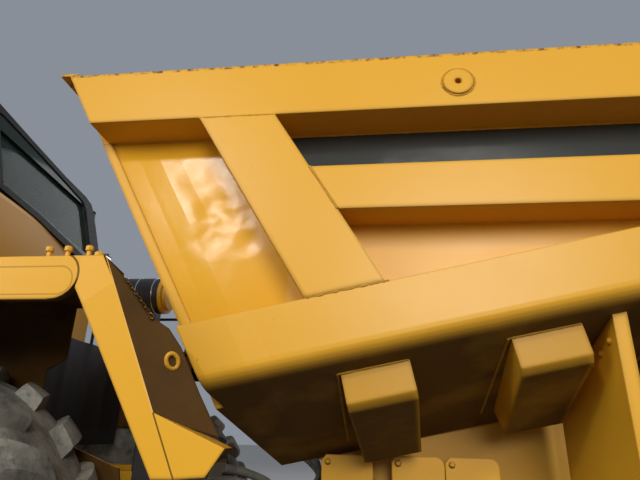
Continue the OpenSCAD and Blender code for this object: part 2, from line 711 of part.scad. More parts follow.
// Cylinders. A barrel carries a bore, and its rod ends in an eye
module cylinder_barrel(d, rod, len, eye_d, eye_w, bore_d, start) {
    difference() {
        union() {
            rotate([90, 0, 0]) translate([0, 0, -eye_w/2]) cylinder(d = eye_d, h = eye_w);
            translate([eye_d/2 - 25, 0, 0]) rotate([0, 90, 0]) cylinder(d = eye_w - 4, h = start - eye_d/2 + 25);
            translate([start, 0, 0]) rotate([0, 90, 0]) cylinder(d = d, h = len - start);
        }
        rotate([90, 0, 0]) translate([0, 0, -eye_w]) cylinder(d = bore_d, h = 2*eye_w);
        translate([start + 35, 0, 0]) rotate([0, 90, 0]) cylinder(d = rod + 2*pin_gap, h = len);
    }
}
module cylinder_rod(rod, total, len, eye_d, eye_w) {
    translate([total - len, 0, 0]) rotate([0, 90, 0]) cylinder(d = rod, h = len - eye_d*0.3);
    translate([total, 0, 0]) rotate([90, 0, 0]) translate([0, 0, -eye_w/2]) cylinder(d = eye_d, h = eye_w);
}
hoist_len = sqrt(pow(hoist_x - ear_x, 2) + pow(ear_z - hoist_z, 2));
hoist_angle = atan2(ear_z - hoist_z, hoist_x - ear_x);
module hoist_place(side) {
    translate([hoist_x, side*hoist_y, hoist_z]) rotate([0, hoist_angle + 180, 0]) children();
}
module hoist_barrel(side) {
    color(dark) hoist_place(side) cylinder_barrel(hoist_d, hoist_rod_d, hoist_len - 93, 130, 78,
        hoist_pin_d + 2*pin_gap, 110);
}
module hoist_rod(side) {
    color(steel) hoist_place(side) cylinder_rod(hoist_rod_d, hoist_len, hoist_len - 151, 140, 124);
}
module hoist_barrel_left() { hoist_barrel(1); }
module hoist_barrel_right() { hoist_barrel(-1); }
module hoist_rod_left() { hoist_rod(1); }
module hoist_rod_right() { hoist_rod(-1); }

steer_len = sqrt(pow(steer_x - steer_eye_x, 2) + pow(steer_y - steer_eye_y, 2));
steer_angle = atan2(steer_y - steer_eye_y, steer_x - steer_eye_x);
module steer_place(side) {
    mirror([0, side < 0 ? 1 : 0, 0]) translate([steer_x, steer_y, hitch_z])
        rotate([90, 0, 180 + steer_angle]) children();
}
module steer_barrel(side) {
    color(dark) steer_place(side) cylinder_barrel(steer_d, steer_rod_d, 920, 100, 78,
        steer_pin_d + 2*pin_gap, 110);
}
module steer_rod(side) {
    color(steel) steer_place(side) cylinder_rod(steer_rod_d, steer_len, 900, 90, 71);
}
module steer_barrel_left() { steer_barrel(1); }
module steer_barrel_right() { steer_barrel(-1); }
module steer_rod_left() { steer_rod(1); }
module steer_rod_right() { steer_rod(-1); }

// Wheels
module wheel_place(n, side) {
    translate([wheel_xs[n], side*tyre_y, axle_z]) rotate([90, 0, 0]) mirror([0, 0, side < 0 ? 0 : 1])
        children();
}
lug_h = 42;
lugs = 20;
lug_w = 150;
lug_slant = 10;
// Height of a lug's flat top, so that its far corners lie on the tyre's radius
lug_r = sqrt(tyre_r*tyre_r - pow(lug_w/2 + 16, 2));
module lug(c, h) {
    translate([0, 0, h/2]) rotate([lug_slant, 0, 0]) translate([0, 0, -h/2])
        side_plate([[c - 40, 12], [lug_r, 12], [lug_r, h - 62], [lug_r - 22, h - 32], [lug_r - 120, h - 16],
            [c - 150, h - 24], [c - 150, h - 90]], -lug_w/2, lug_w/2);
}
module tyre(n, side) {
    h = tyre_w/2;
    c = tyre_r - lug_h;
    color(rubber) wheel_place(n, side) {
        rotate_extrude() polygon([[rim_d/2, 60 - h], [rim_d/2 + 180, -h], [c - 90, 18 - h],
            [c, 80 - h], [c, h - 80], [c - 90, h - 18], [rim_d/2 + 180, h], [rim_d/2, h - 60]]);
        // Two rows of slanted bar lugs, half a pitch apart
        for (i = [0 : lugs - 1], row = [0, 1])
            rotate([0, 0, (i + row/2 + 0.25)*360/lugs]) mirror([0, 0, row]) lug(c, h);
    }
}
module rim(n, side) {
    h = tyre_w/2;
    color(yellow) wheel_place(n, side) difference() {
        union() {
            rotate_extrude() polygon([[rim_d/2 - 30, -h + 50], [rim_d/2, -h + 50], [rim_d/2, h - 50],
                [rim_d/2 - 30, h - 50]]);
            translate([0, 0, 60]) cylinder(d = rim_d - 50, h = 40);
            translate([0, 0, -40]) cylinder(d = 420, h = 190);
        }
        translate([0, 0, -200]) cylinder(d = spindle_d + 2*pin_gap, h = 335);
    }
}
module tyre_front_left() { tyre(0, 1); }
module tyre_front_right() { tyre(0, -1); }
module tyre_mid_left() { tyre(1, 1); }
module tyre_mid_right() { tyre(1, -1); }
module tyre_rear_left() { tyre(2, 1); }
module tyre_rear_right() { tyre(2, -1); }
module rim_front_left() { rim(0, 1); }
module rim_front_right() { rim(0, -1); }
module rim_mid_left() { rim(1, 1); }
module rim_mid_right() { rim(1, -1); }
module rim_rear_left() { rim(2, 1); }
module rim_rear_right() { rim(2, -1); }

front_frame();
front_axle();
engine();
bumper();
cab_shell();
cab_glass();
cab_interior();
cab_door();
hood();
grille();
fender_left();
fender_right();
steps();
handrails();
mirrors();
headlamps();
air_cleaner();
exhaust();
hitch_yoke();
rear_frame();
mid_axle();
rear_axle();
walking_beams();
body_rests();
tail_lamps();
dump_tub();
dump_rails();
dump_ribs();
mudguards();
hoist_barrel_left();
hoist_barrel_right();
hoist_rod_left();
hoist_rod_right();
steer_barrel_left();
steer_barrel_right();
steer_rod_left();
steer_rod_right();
tyre_front_left();
tyre_front_right();
tyre_mid_left();
tyre_mid_right();
tyre_rear_left();
tyre_rear_right();
rim_front_left();
rim_front_right();
rim_mid_left();
rim_mid_right();
rim_rear_left();
rim_rear_right();
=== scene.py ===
# Articulated dump truck, seen from the left and from below. Metres, +X forward, +Y left, +Z up.
import math
import bmesh
import bpy
import numpy as np
from mathutils import Matrix


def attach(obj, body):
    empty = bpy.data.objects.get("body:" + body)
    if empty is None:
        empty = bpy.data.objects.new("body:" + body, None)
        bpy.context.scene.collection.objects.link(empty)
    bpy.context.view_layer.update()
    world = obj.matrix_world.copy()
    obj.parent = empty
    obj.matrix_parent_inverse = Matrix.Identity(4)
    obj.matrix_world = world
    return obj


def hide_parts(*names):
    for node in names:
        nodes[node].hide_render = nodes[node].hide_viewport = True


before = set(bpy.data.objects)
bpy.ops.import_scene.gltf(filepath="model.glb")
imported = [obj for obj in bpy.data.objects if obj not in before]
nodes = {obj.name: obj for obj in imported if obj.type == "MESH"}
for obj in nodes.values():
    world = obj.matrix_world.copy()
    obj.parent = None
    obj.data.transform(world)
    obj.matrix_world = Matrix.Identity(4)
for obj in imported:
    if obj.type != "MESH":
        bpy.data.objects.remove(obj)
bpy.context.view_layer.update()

# The view. A close look up at the body's front corner from beside the hitch, with a wide lens. The truck
# stands on a plain floor. A large soft lamp lights its left, a small one glares in the front sheet, and two
# weak ones fill in from ahead and from behind.
FOCAL_PX, PICTURE_WIDTH, SENSOR = 502.0, 640.0, 36.0
PITCH, ROLL, YAW = np.radians([21.0, 1.34, 6.9])
EYE = (0.525, 3.61, 1.55)


def unit(vectors):
    """Vectors, each divided by its own length."""
    vectors = np.asarray(vectors, float)
    return vectors/np.linalg.norm(vectors, axis=-1, keepdims=True)


def stand(item, east, north, back, place):
    """Puts an item in the scene at a place, with its own X, Y and Z along the three given ones."""
    pose = np.eye(4)
    pose[:3] = np.stack([east, north, back, place], 1)
    item.matrix_world = Matrix(pose.tolist())
    bpy.context.collection.objects.link(item)


forward = np.array([np.sin(YAW)*np.cos(PITCH), -np.cos(YAW)*np.cos(PITCH), np.sin(PITCH)])
level_right = unit(np.cross(forward, [0, 0, 1.0]))
level_up = np.cross(level_right, forward)
right = level_right*np.cos(ROLL) + level_up*np.sin(ROLL)
up = level_up*np.cos(ROLL) - level_right*np.sin(ROLL)
camera = bpy.data.objects.new("camera", bpy.data.cameras.new("camera"))
camera.data.sensor_width = SENSOR
camera.data.lens = SENSOR*FOCAL_PX/PICTURE_WIDTH
camera.data.clip_end = 200.0
stand(camera, right, up, -forward, EYE)
bpy.context.scene.camera = camera
bpy.context.scene.view_settings.view_transform = "Standard"


def soft_light(name, place, aim, size, power, colour):
    """A round area light at a place, turned to face another."""
    lamp = bpy.data.lights.new(name, "AREA")
    lamp.shape, lamp.size, lamp.energy, lamp.color = "DISK", size, power, colour
    back = unit(np.subtract(place, aim))
    side = unit(np.cross([0, 0, 1.0], back))
    stand(bpy.data.objects.new(name, lamp), side, np.cross(back, side), back, place)


soft_light("key_light", (-2.0, 14.0, 6.0), (0.0, 0.0, 2.0), 6.0, 1180.0, (1.0, 0.97, 0.93))
soft_light("glare_light", (6.3, 14.0, 9.2), (1.4, 0.0, 2.6), 1.4, 520.0, (1.0, 0.98, 0.95))
soft_light("fill_light", (13.0, 9.0, 6.0), (2.0, 0.0, 2.0), 8.0, 600.0, (1.0, 0.98, 0.95))
soft_light("back_light", (-3.0, -14.0, 12.0), (0.0, 0.0, 2.0), 10.0, 500.0, (1.0, 1.0, 1.0))


class Term:
    """A shader value. Python's signs on it add the Math node that works them out."""

    def __init__(self, finish, socket):
        self.finish, self.socket = finish, socket

    def _math(self, operation, first, second):
        return self.finish.node("ShaderNodeMath", dict(operation=operation), {0: first, 1: second})

    def __add__(self, other):
        return self._math("ADD", self, other)

    def __sub__(self, other):
        return self._math("SUBTRACT", self, other)

    def __rsub__(self, other):
        return self._math("SUBTRACT", other, self)

    def __mul__(self, other):
        return self._math("MULTIPLY", self, other)

    __radd__, __rmul__ = __add__, __mul__

    def __lt__(self, other):
        return self._math("LESS_THAN", self, other)

    def __gt__(self, other):
        return self._math("GREATER_THAN", self, other)

    def __abs__(self):
        return self._math("ABSOLUTE", self, 0.0)

    def above(self, floor):
        """The greater of two values."""
        return self._math("MAXIMUM", self, floor)

    def length(self, other):
        """Length of the leg pair, the root of the summed squares."""
        return self._math("SQRT", self*self + other*other, 0.0)

    def between(self, low, high):
        """1 where the value is above high, 0 below low, and an even slope between."""
        return self.finish.node("ShaderNodeMapRange", dict(clamp=True),
                                {"Value": self, "From Min": low, "From Max": high})


class Finish:
    """A node material in the making, and the slot of its pieces. Patterns read the object's own coordinates."""

    def __init__(self, name, slot, colour, roughness, metallic=0.0, coat=0.0):
        self.slot = slot
        self.material = bpy.data.materials.new(name)
        self.material.use_nodes = True
        self.tree = self.material.node_tree
        self.shader = self.tree.nodes["Principled BSDF"]
        self.even("Base Color", (*colour, 1.0))
        self.even("Roughness", roughness)
        self.even("Metallic", metallic)
        self.even("Coat Weight", coat)
        self.place = self.node("ShaderNodeTexCoord", out="Object")

    def node(self, kind, settings=(), sockets=(), out=0):
        """A new node with its settings, its sockets fed or set, and one of its outputs as a term."""
        made = self.tree.nodes.new(kind)
        for key, value in dict(settings).items():
            setattr(made, key, value)
        for key, value in dict(sockets).items():
            if isinstance(value, Term):
                self.tree.links.new(value.socket, made.inputs[key])
            else:
                made.inputs[key].default_value = value
        return Term(self, made.outputs[out])

    def even(self, name, value):
        """Gives a socket of the shader one value all over."""
        self.shader.inputs[name].default_value = value

    def set(self, name, term):
        """Feeds a socket of the shader with a term."""
        self.tree.links.new(term.socket, self.shader.inputs[name])

    def fed(self, name):
        """What feeds a socket of the shader so far."""
        return Term(self, self.shader.inputs[name].links[0].from_socket)

    def noise(self, scale, detail=3.0, rough=0.55, stretch=(1, 1, 1)):
        """Even noise from 0 to 1, stretched along the axes."""
        where = self.node("ShaderNodeMapping", (), {"Vector": self.place, "Scale": stretch})
        return self.node("ShaderNodeTexNoise", (), {"Vector": where, "Scale": scale, "Detail": detail,
                                                    "Roughness": rough})

    def part(self, axis):
        """One coordinate of the place, in metres."""
        return self.node("ShaderNodeSeparateXYZ", (), {0: self.place}, out=axis)

    def facing(self, axis, edge=0.0):
        """One part of the outward normal. Edge is the radius over which corners are taken as rounded."""
        if edge:
            rounded = self.node("ShaderNodeBevel", dict(samples=6), {"Radius": edge})
            normal = self.node("ShaderNodeVectorTransform",
                               dict(vector_type="NORMAL", convert_from="WORLD", convert_to="OBJECT"), {0: rounded})
        else:
            normal = self.node("ShaderNodeTexCoord", out="Normal")
        return self.node("ShaderNodeSeparateXYZ", (), {0: normal}, out=axis)

    def near(self, point, radius):
        """1 at a point, falling evenly to 0 at a radius."""
        gap = self.node("ShaderNodeVectorMath", dict(operation="DISTANCE"), {0: self.place, 1: point}, out="Value")
        return 1 - gap.between(0.0, radius)

    def panel_edge(self, centre, half, radius):
        """Distance in X and Z from the edge of an upright panel with round corners, below 0 inside.

        The parts of the distance past the corner's middle, taken as a length, less the radius.
        """
        east = abs(self.part("X") - centre[0]) - (half[0] - radius)
        north = abs(self.part("Z") - centre[1]) - (half[1] - radius)
        return east.above(0.0).length(north.above(0.0)) - radius

    def mix(self, amount, one, other):
        """A colour between two, which are colours or earlier mixes."""
        pair = [value if isinstance(value, Term) else (*value, 1.0) for value in (one, other)]
        return self.node("ShaderNodeMix", dict(data_type="RGBA"), {0: amount, 6: pair[0], 7: pair[1]}, out=2)

    def bump(self, height, edge=0.0, strength=1.0):
        """Height in metres. Edge is the radius that the coat and the rolled steel give a sharp corner."""
        sockets = {"Height": height, "Distance": 1.0, "Strength": strength}
        if edge:
            sockets["Normal"] = self.node("ShaderNodeBevel", dict(samples=4), {"Radius": edge})
        self.set("Normal", self.node("ShaderNodeBump", (), sockets))


SEEN_FLOOR = ((0.44, 0.44, 0.44), (0.48, 0.48, 0.475))
MIRRORED_FLOOR = (0.36, 0.36, 0.355)
DUSTY_GROUND = (0.16, 0.135, 0.10)
floor_paint = Finish("plain_floor", None, SEEN_FLOOR[0], 0.9)
by_eye, by_mirror, through_glass = [floor_paint.node("ShaderNodeLightPath", out=f"Is {kind} Ray")
                                    for kind in ("Camera", "Glossy", "Transmission")]
unseen = floor_paint.mix(by_mirror.above(through_glass), DUSTY_GROUND, MIRRORED_FLOOR)
floor_paint.set("Base Color", floor_paint.mix(by_eye, unseen, floor_paint.mix(floor_paint.noise(0.6), *SEEN_FLOOR)))
bpy.ops.mesh.primitive_plane_add(size=120.0)
floor = bpy.context.object
floor.name = "floor"
floor.data.materials.append(floor_paint.material)
SKY_LIGHT, SKY_STRENGTH = (0.86, 0.90, 0.96, 1.0), 0.36
BACKDROP = (0.25, 0.275, 0.315, 1.0)
world = bpy.data.worlds.new("studio")
bpy.context.scene.world = world
world.use_nodes = True
sky = world.node_tree


def greater(one, other):
    """The greater of two of the world's sockets."""
    made = sky.nodes.new("ShaderNodeMath")
    made.operation = "MAXIMUM"
    sky.links.new(one, made.inputs[0])
    sky.links.new(other, made.inputs[1])
    return made.outputs[0]


rays = sky.nodes.new("ShaderNodeLightPath").outputs
lit = sky.nodes["Background"]
lit.inputs["Color"].default_value, lit.inputs["Strength"].default_value = SKY_LIGHT, SKY_STRENGTH
plain = sky.nodes.new("ShaderNodeBackground")
plain.inputs["Color"].default_value = BACKDROP
chosen = sky.nodes.new("ShaderNodeMixShader")
seen = greater(rays["Is Camera Ray"], greater(rays["Is Glossy Ray"], rays["Is Transmission Ray"]))
for number, socket in enumerate((seen, lit.outputs[0], plain.outputs[0])):
    sky.links.new(socket, chosen.inputs[number])
sky.links.new(chosen.outputs[0], sky.nodes["World Output"].inputs[0])

# The yellow panels. Steel sheet with a thick glossy coat that was sprayed again over old knocks: it
# reflects like wet paint, is scuffed through at corners, and has brown film where rain doesn't reach. Faces
# that look down get the same brown, as that film and as painted shade together.
YELLOW = (0.68, 0.350, 0.020)
OLD_YELLOW = (0.58, 0.285, 0.018)
# The brown of dirt film, also used as the colour of painted shade on undersides, wings and ribs.
FILM_AND_SHADE = (0.052, 0.021, 0.001)
RUST = (0.13, 0.055, 0.022)
COAT, COAT_ROUGHNESS = 0.22, 0.34
PAINT_IOR = 1.30


def yellow_finish(name, film_and_shade, dents, chips, edge=0.012, relief=None, painted_shade=None, rim=5.0):
    """Yellow coat. The film depth browns faces that look down, as dirt film and painted shade together, and dents
    is the height of knocks in metres.

    Chips is the level of noise past which the coat is gone, and edge the radius of the sheet's corners. Relief
    and the shade mask are functions of the finish: a height to add, and a mask of painted shade in the same brown.
    Rim is the height above which loading buckets have scraped the edge down to rust.
    """
    made = Finish(name, "yellow_paint", YELLOW, 0.32)
    made.even("Coat Roughness", COAT_ROUGHNESS)
    made.even("IOR", PAINT_IOR)
    tone = made.mix(0.35, YELLOW, made.mix(made.noise(0.9, 2.0), YELLOW, OLD_YELLOW))
    # Faces that look down, low ones most, are browned: dirt film and painted shade together.
    below = (made.facing("Z", edge*2)*-1).between(0.15, 0.9)
    low = (2.45 - made.part("Z")).between(0.0, 0.30)*0.75 + 0.25
    dirt_and_shade = below*low*made.noise(2.5, 5.0, 0.5).between(-0.60, 0.50)*film_and_shade
    # The second mask, where given, adds painted shade in the same brown.
    if painted_shade:
        dirt_and_shade = dirt_and_shade.above(painted_shade(made)*(0.93 + made.noise(5.0, 5.0)*0.10))
    tone = made.mix(dirt_and_shade, tone, FILM_AND_SHADE)
    chip = made.noise(38.0, 6.0, 0.7).between(chips, chips + 0.02)*made.noise(1.6, 3.0).between(0.52, 0.60)
    worn = (made.part("Z") > rim)*made.noise(16.0, 6.0, 0.7).between(0.47, 0.60)
    chip = chip.above(worn)
    tone = made.mix(chip, tone, RUST)
    made.set("Base Color", tone)
    made.set("Roughness", 0.26 + made.noise(3.0, 4.0)*0.18 + dirt_and_shade*0.45 + chip*0.4)
    made.set("Coat Weight", COAT - dirt_and_shade*COAT)
    peel = made.noise(260.0, 1.0)*0.0004
    knocks = made.noise(1.7, 2.0, 0.45)*dents + made.noise(7.0, 2.0, 0.5)*dents*0.25
    height = knocks + peel - chip*0.0006
    made.bump(relief(made) + height if relief else height, edge, 0.8)
    return made


def dress(finish, *names):
    """Gives CAD nodes their finish."""
    for name in names:
        slots = nodes[name].data.materials
        slots.clear()
        slots.append(finish.material)


SKIRT_LINE = ((2.734, 2.1125), (0.966, 0.0595), 0.0590)
SKIRT_SEAM = ((2.746, 2.132), (1.0, 0.100), 0.095)
FENDER_SEAM = ((1.346, 1.604), (1.241, 1.386))
POST_BEND = ((1.588, 2.101), (1.712, 2.011))
TREAD_WAVES = 95.0


def seam_gap(made, one, other):
    """Distance in X and Z from a straight line through two points, along the line's normal."""
    east, north = other[0] - one[0], other[1] - one[1]
    far = math.hypot(east, north)
    return (made.part("X") - one[0])*(-north/far) + (made.part("Z") - one[1])*(east/far)


def fender_lines(made):
    """A pressed border line on the skirt, the open seam round it, and the seam between post and foot."""
    outside = abs(made.part("Y")) > 1.752
    border = abs(made.panel_edge(*SKIRT_LINE)) < 0.003
    seam = (abs(made.panel_edge(*SKIRT_SEAM)) < 0.0045)*(made.part("X") < 1.86)
    foot = (abs(seam_gap(made, *FENDER_SEAM)) < 0.003)*(made.part("Z") < 1.605)
    return (border*0.45 + seam + foot)*outside


def fender_relief(made):
    """The lines as shallow grooves, the post's top bent inwards past a straight fold, and the deck's tread.

    The tread is the product of two sine waves, along X + Y and along X - Y, cut off at a height.
    """
    fold = seam_gap(made, *POST_BEND).above(0.0)*(made.part("X") < 1.752)
    phases = [(made.part("X") + made.part("Y")*way)*TREAD_WAVES for way in (1.0, -1.0)]
    waves = [made.node("ShaderNodeMath", dict(operation="SINE"), {0: phase}) for phase in phases]
    tread = (waves[0]*waves[1]).between(0.45, 0.70)*(made.facing("Z") > 0.9)
    return fender_lines(made)*-0.003 + fold*-0.12 + tread*0.0025


def fender_shade_and_seams(made):
    """Painted shade on every face that lies inside the fender's outer plane but not on the deck, and dark lines."""
    inside = (abs(made.part("Y")) < 1.7585)*(made.facing("Z") < 0.5)
    # Painted shade on the rearward-facing wing and the arch's inner walls. The pressed border line gets painted shade
    # in its groove, and the open seams are dark joints.
    return inside.above(fender_lines(made)*0.85)


def rib_painted_shade(made):
    """A thin even layer of painted shade on the ribs' upright faces."""
    return (abs(made.facing("Y")) > 0.3)*0.27


BODY_COAT = dict(film_and_shade=0.95, dents=0.006, chips=0.69)
BODY_RIM = 3.306
cab_yellow = yellow_finish("cab_yellow", 0.5, 0.001, 0.72)
fender_yellow = yellow_finish("fender_yellow", 0.9, 0.0015, 0.70, relief=fender_relief, painted_shade=fender_shade_and_seams)
frame_yellow = yellow_finish("frame_yellow", 0.9, 0.002, 0.66)
body_yellow = yellow_finish("body_yellow", **BODY_COAT, edge=0.024, rim=BODY_RIM)
rib_yellow = yellow_finish("rib_yellow", **BODY_COAT, edge=0.024, painted_shade=rib_painted_shade)
dress(cab_yellow, "cab_shell", "cab_door", "hood")
dress(fender_yellow, "fender_left", "fender_right")
dress(frame_yellow, "front_frame", "rear_frame", "hitch_yoke", "body_rests")
dress(body_yellow, "dump_rails", "mudguards")
dress(rib_yellow, "dump_ribs")

# Tub of the dump body. A welded steel box in the same yellow as its rails, with a plain glossy black band
# sprayed on the side sheet between top rail and middle rail. Loads have scraped the inside to bare steel and
# rust, and knocks from inside have dented the thin front sheet.
SHEET = 1.345
BAND_LOW, BAND_HIGH = 2.74, 3.02
BAND_FRONT, BAND_REAR = 1.10, -4.6
BAND_OUTSIDE = 1.30
BAND_BLACK = (0.030, 0.033, 0.030)
FRONT_SHEET_X, FRONT_SHEET_Y, FRONT_SHEET_Z = 0.95, 1.40, 2.0
DENTS = (((1.444, SHEET, 2.790), 0.16, 0.007), ((1.352, SHEET, 2.636), 0.13, 0.008),
         ((1.269, SHEET, 2.533), 0.08, 0.004), ((1.162, SHEET, 2.418), 0.09, 0.005),
         ((1.36, SHEET, 2.45), 0.14, 0.004))
CREASE = ((1.295, 2.214), (1.681, 2.908))
HITS, BAND_WAVES = (1.28, SHEET, 2.56), (0.75, SHEET, 2.88)


def tub_relief(made):
    """Round dents in the front sheet, each a smooth bowl, with a soft crease beside them and small hits among them.

    A bowl is 3b^2 - 2b^3 of its nearness b. Slow waves run along the black band.
    """
    crease = abs(seam_gap(made, *CREASE))
    total = crease.between(0.0, 0.10)*-0.004
    for place, reach, deep in DENTS:
        bowl = made.near(place, reach)
        total = bowl*bowl*(3 - bowl*2)*-deep + total
    hit = made.near(HITS, 0.40)
    waves = made.noise(5.0, 1.0)*made.near(BAND_WAVES, 0.9)*-0.010
    return made.noise(9.0, 1.0)*hit*hit*-0.009 + total + waves


tub = yellow_finish("tub_yellow", **BODY_COAT, relief=tub_relief, rim=BODY_RIM)
tub.even("IOR", 1.33)
height, along, outside = tub.part("Z"), tub.part("X"), abs(tub.part("Y"))
outward = tub.part("Y")*tub.facing("Y") > 0.3
band = outward*(height > BAND_LOW)*(height < BAND_HIGH)*(along < BAND_FRONT)*(along > BAND_REAR)
band = band*(outside > BAND_OUTSIDE)
inner = (tub.part("Y")*tub.facing("Y") < -0.2).above(tub.facing("Z") > 0.35).above(tub.facing("X") < -0.3)
inner = inner*(outside < SHEET - 0.003)*(height > 1.5)
scraped = inner*tub.noise(2.6, 7.0, 0.7, (0.35, 1, 1)).between(0.36, 0.56)
bare = tub.mix(tub.noise(30.0, 5.0), (0.15, 0.085, 0.050), (0.26, 0.22, 0.19))
tub.set("Base Color", tub.mix(band, tub.mix(scraped, tub.fed("Base Color"), bare), BAND_BLACK))
front = outward*(along > FRONT_SHEET_X)*(outside < FRONT_SHEET_Y)*(height > FRONT_SHEET_Z)
tub.set("Roughness", tub.fed("Roughness")*(1 - band)*(1 - front) + band*0.10 + front*0.19)
tub.set("Coat Weight", tub.fed("Coat Weight")*(1 - front))
dress(tub, "dump_tub")

# Axles, engine and walking beams. They are rough iron castings, bolted in without paint, oily below and with
# dust on their upper faces.
iron = Finish("dusty_iron", "dark_iron", (0.07, 0.065, 0.06), 0.7)
iron_dust = iron.facing("Z").between(0.0, 1.0)*iron.noise(4.0, 5.0).between(0.35, 0.7)
iron.set("Base Color", iron.mix(iron_dust, (0.045, 0.042, 0.040), (0.20, 0.165, 0.12)))
iron.set("Roughness", 0.5 + iron.noise(9.0)*0.35)
iron.bump(iron.noise(90.0, 3.0)*0.001)
dress(iron, "front_axle", "mid_axle", "rear_axle", "engine", "walking_beams")

# Black painted metal of the bumper, grille, steps, handrails, mirrors, exhaust and cylinder barrels. It is worn
# to dull brown in places.
black = Finish("black_paint", "black_paint", (0.02, 0.02, 0.021), 0.45)
black_wear = black.noise(22.0, 6.0, 0.7).between(0.64, 0.68)*black.noise(2.0).between(0.5, 0.6)
black.set("Base Color", black.mix(black_wear, (0.018, 0.018, 0.019), (0.11, 0.075, 0.05)))
black.set("Roughness", 0.35 + black.noise(5.0)*0.3)
black.bump(black.noise(160.0)*0.0003)
dress(black, "bumper", "grille", "steps", "handrails", "mirrors", "exhaust", "hoist_barrel_left",
      "hoist_barrel_right", "steer_barrel_left", "steer_barrel_right")

# Cylinder rods. Round bars of ground and chromed steel that slide through the barrels' glands. A thin film of
# oil on them has caught some dust.
chrome = Finish("chromed_rod", "steel_rod", (0.62, 0.62, 0.62), 0.16, metallic=1.0)
oily = chrome.noise(5.0, 5.0).between(0.4, 0.8)
chrome.set("Base Color", chrome.mix(oily, (0.66, 0.66, 0.66), (0.42, 0.39, 0.34)))
chrome.set("Roughness", 0.12 + oily*0.25)
dress(chrome, "hoist_rod_left", "hoist_rod_right", "steer_rod_left", "steer_rod_right")

# Cab windows and the cab's inside. The panes are green tinted safety glass, wiped dull in places, and behind
# them everything is moulded in black plastic.
glass = Finish("tinted_glass", "tinted_glass", (0.022, 0.045, 0.040), 0.04)
glass.even("Alpha", 0.64)
glass.even("IOR", 1.14)
glass.set("Roughness", 0.03 + glass.noise(3.0, 4.0).between(0.5, 0.8)*0.12)
dress(glass, "cab_glass")
plastic = Finish("cab_plastic", "cab_plastic", (0.035, 0.035, 0.037), 0.6)
plastic.set("Base Color", plastic.mix(plastic.noise(6.0), (0.030, 0.030, 0.032), (0.060, 0.058, 0.055)))
plastic.bump(plastic.noise(400.0, 2.0)*0.0004)
dress(plastic, "cab_interior")

# Lamps. Clear ribbed plastic lenses in front, red ones behind, and smoky brown ones for the lamps in the
# fenders' feet. They are moulded in one piece and pressed in from outside.
clear_lens = Finish("clear_lens", "lens", (0.75, 0.76, 0.74), 0.12, coat=0.6)
ribs = clear_lens.node("ShaderNodeTexWave", dict(bands_direction="Y"), {"Vector": clear_lens.place, "Scale": 30.0})
clear_lens.bump(ribs*0.002)
dress(clear_lens, "headlamps")
smoky_lens = Finish("smoky_lens", "lens", (0.050, 0.035, 0.018), 0.12, coat=0.6)
smoky_lens.bump(smoky_lens.noise(60.0)*0.001)
red_lens = Finish("red_lens", "lens", (0.32, 0.012, 0.010), 0.15, coat=0.6)
red_lens.bump(red_lens.noise(120.0)*0.001)
dress(red_lens, "tail_lamps")

# Tyres. Wide earthmover tyres of dusty grey rubber, with two rows of curved bar lugs, staggered by half a pitch,
# from the side wall over the shoulder to the middle. The carcass is turned from a rounded-square curve, and each
# lug is a block carried along that curve, with a square wear dimple in its top.
TYRE_RADIUS, TYRE_HALF = 0.934, 0.3665
SEAT_RADIUS, SEAT_HALF = 0.322, 0.31
WIDEST_RADIUS = 0.60
LUG_DEPTH = 0.062
LUGS = 20
SIDES = (("left", 1), ("right", -1))
AXLES = (("front", 2.7), ("mid", -1.7), ("rear", -3.67))
WHEEL_SIDE, AXLE_HEIGHT = 1.352, 0.935
WHEELS = [(f"{place}_{side}", x, WHEEL_SIDE*sign, sign) for place, x in AXLES for side, sign in SIDES]


def surface(name, points, finish, body, closed=(False, False), caps=False, crease=40, slot=None):
    """A grid of points, or many like grids, made into one mesh of four-sided faces.

    The last three axes are rows, columns and x, y, z. Closed joins the last row or column to the first, and caps
    fills the first and last row. Edges sharper than crease degrees stay sharp. The slot is not used.
    """
    grids = np.asarray(points, float)
    grids = grids.reshape(-1, *grids.shape[-3:])
    count, rows, columns, _ = grids.shape
    index = np.arange(rows*columns).reshape(rows, columns)
    first = index if closed[0] else index[:-1]
    after = np.roll(index, -1, 0) if closed[0] else index[1:]
    if closed[1]:
        beside, across = np.roll(first, -1, 1), np.roll(after, -1, 1)
    else:
        beside, across = first[:, 1:], after[:, 1:]
        first, after = first[:, :-1], after[:, :-1]
    quads = np.stack([first, beside, across, after], -1).reshape(-1, 4)
    start = np.arange(count)*rows*columns
    faces = (quads[None] + start[:, None, None]).reshape(-1, 4).tolist()
    if caps:
        for end in (index[0], index[-1]):
            faces += (end[None] + start[:, None]).tolist()
    mesh = bpy.data.meshes.new(name)
    mesh.from_pydata(grids.reshape(-1, 3).tolist(), [], faces)
    work = bmesh.new()
    work.from_mesh(mesh)
    bmesh.ops.remove_doubles(work, verts=work.verts, dist=1e-6)
    bmesh.ops.recalc_face_normals(work, faces=work.faces)
    work.to_mesh(mesh)
    work.free()
    mesh.polygons.foreach_set("use_smooth", np.ones(len(mesh.polygons), bool))
    mesh.set_sharp_from_angle(angle=math.radians(crease))
    mesh.materials.append(finish.material)
    item = bpy.data.objects.new(name, mesh)
    bpy.context.collection.objects.link(item)
    slot = slot or finish.slot
    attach(item, body)
    return item


def tyre_section(turn, reach=1.0):
    """Half width and radius of the outside at a turn from the side wall (0) to the middle of the tread (1).

    A rounded square: the cosine and sine of the turn, each raised to a power below one.
    """
    angle = turn*math.pi/2
    half = TYRE_HALF*np.cos(angle)**0.42
    radius = WIDEST_RADIUS + (TYRE_RADIUS - WIDEST_RADIUS - LUG_DEPTH*(1 - reach))*np.sin(angle)**0.62
    return half - 0.014*(1 - reach), radius


def wheel_points(turned, across, radius, x, y, sign):
    """Points of a wheel from a turn about the axle, a place across the tyre and a radius."""
    turned, across, radius = np.broadcast_arrays(turned, across, radius)
    return np.stack([x + radius*np.sin(turned), y + sign*across,
                     AXLE_HEIGHT + radius*np.cos(turned)], -1)


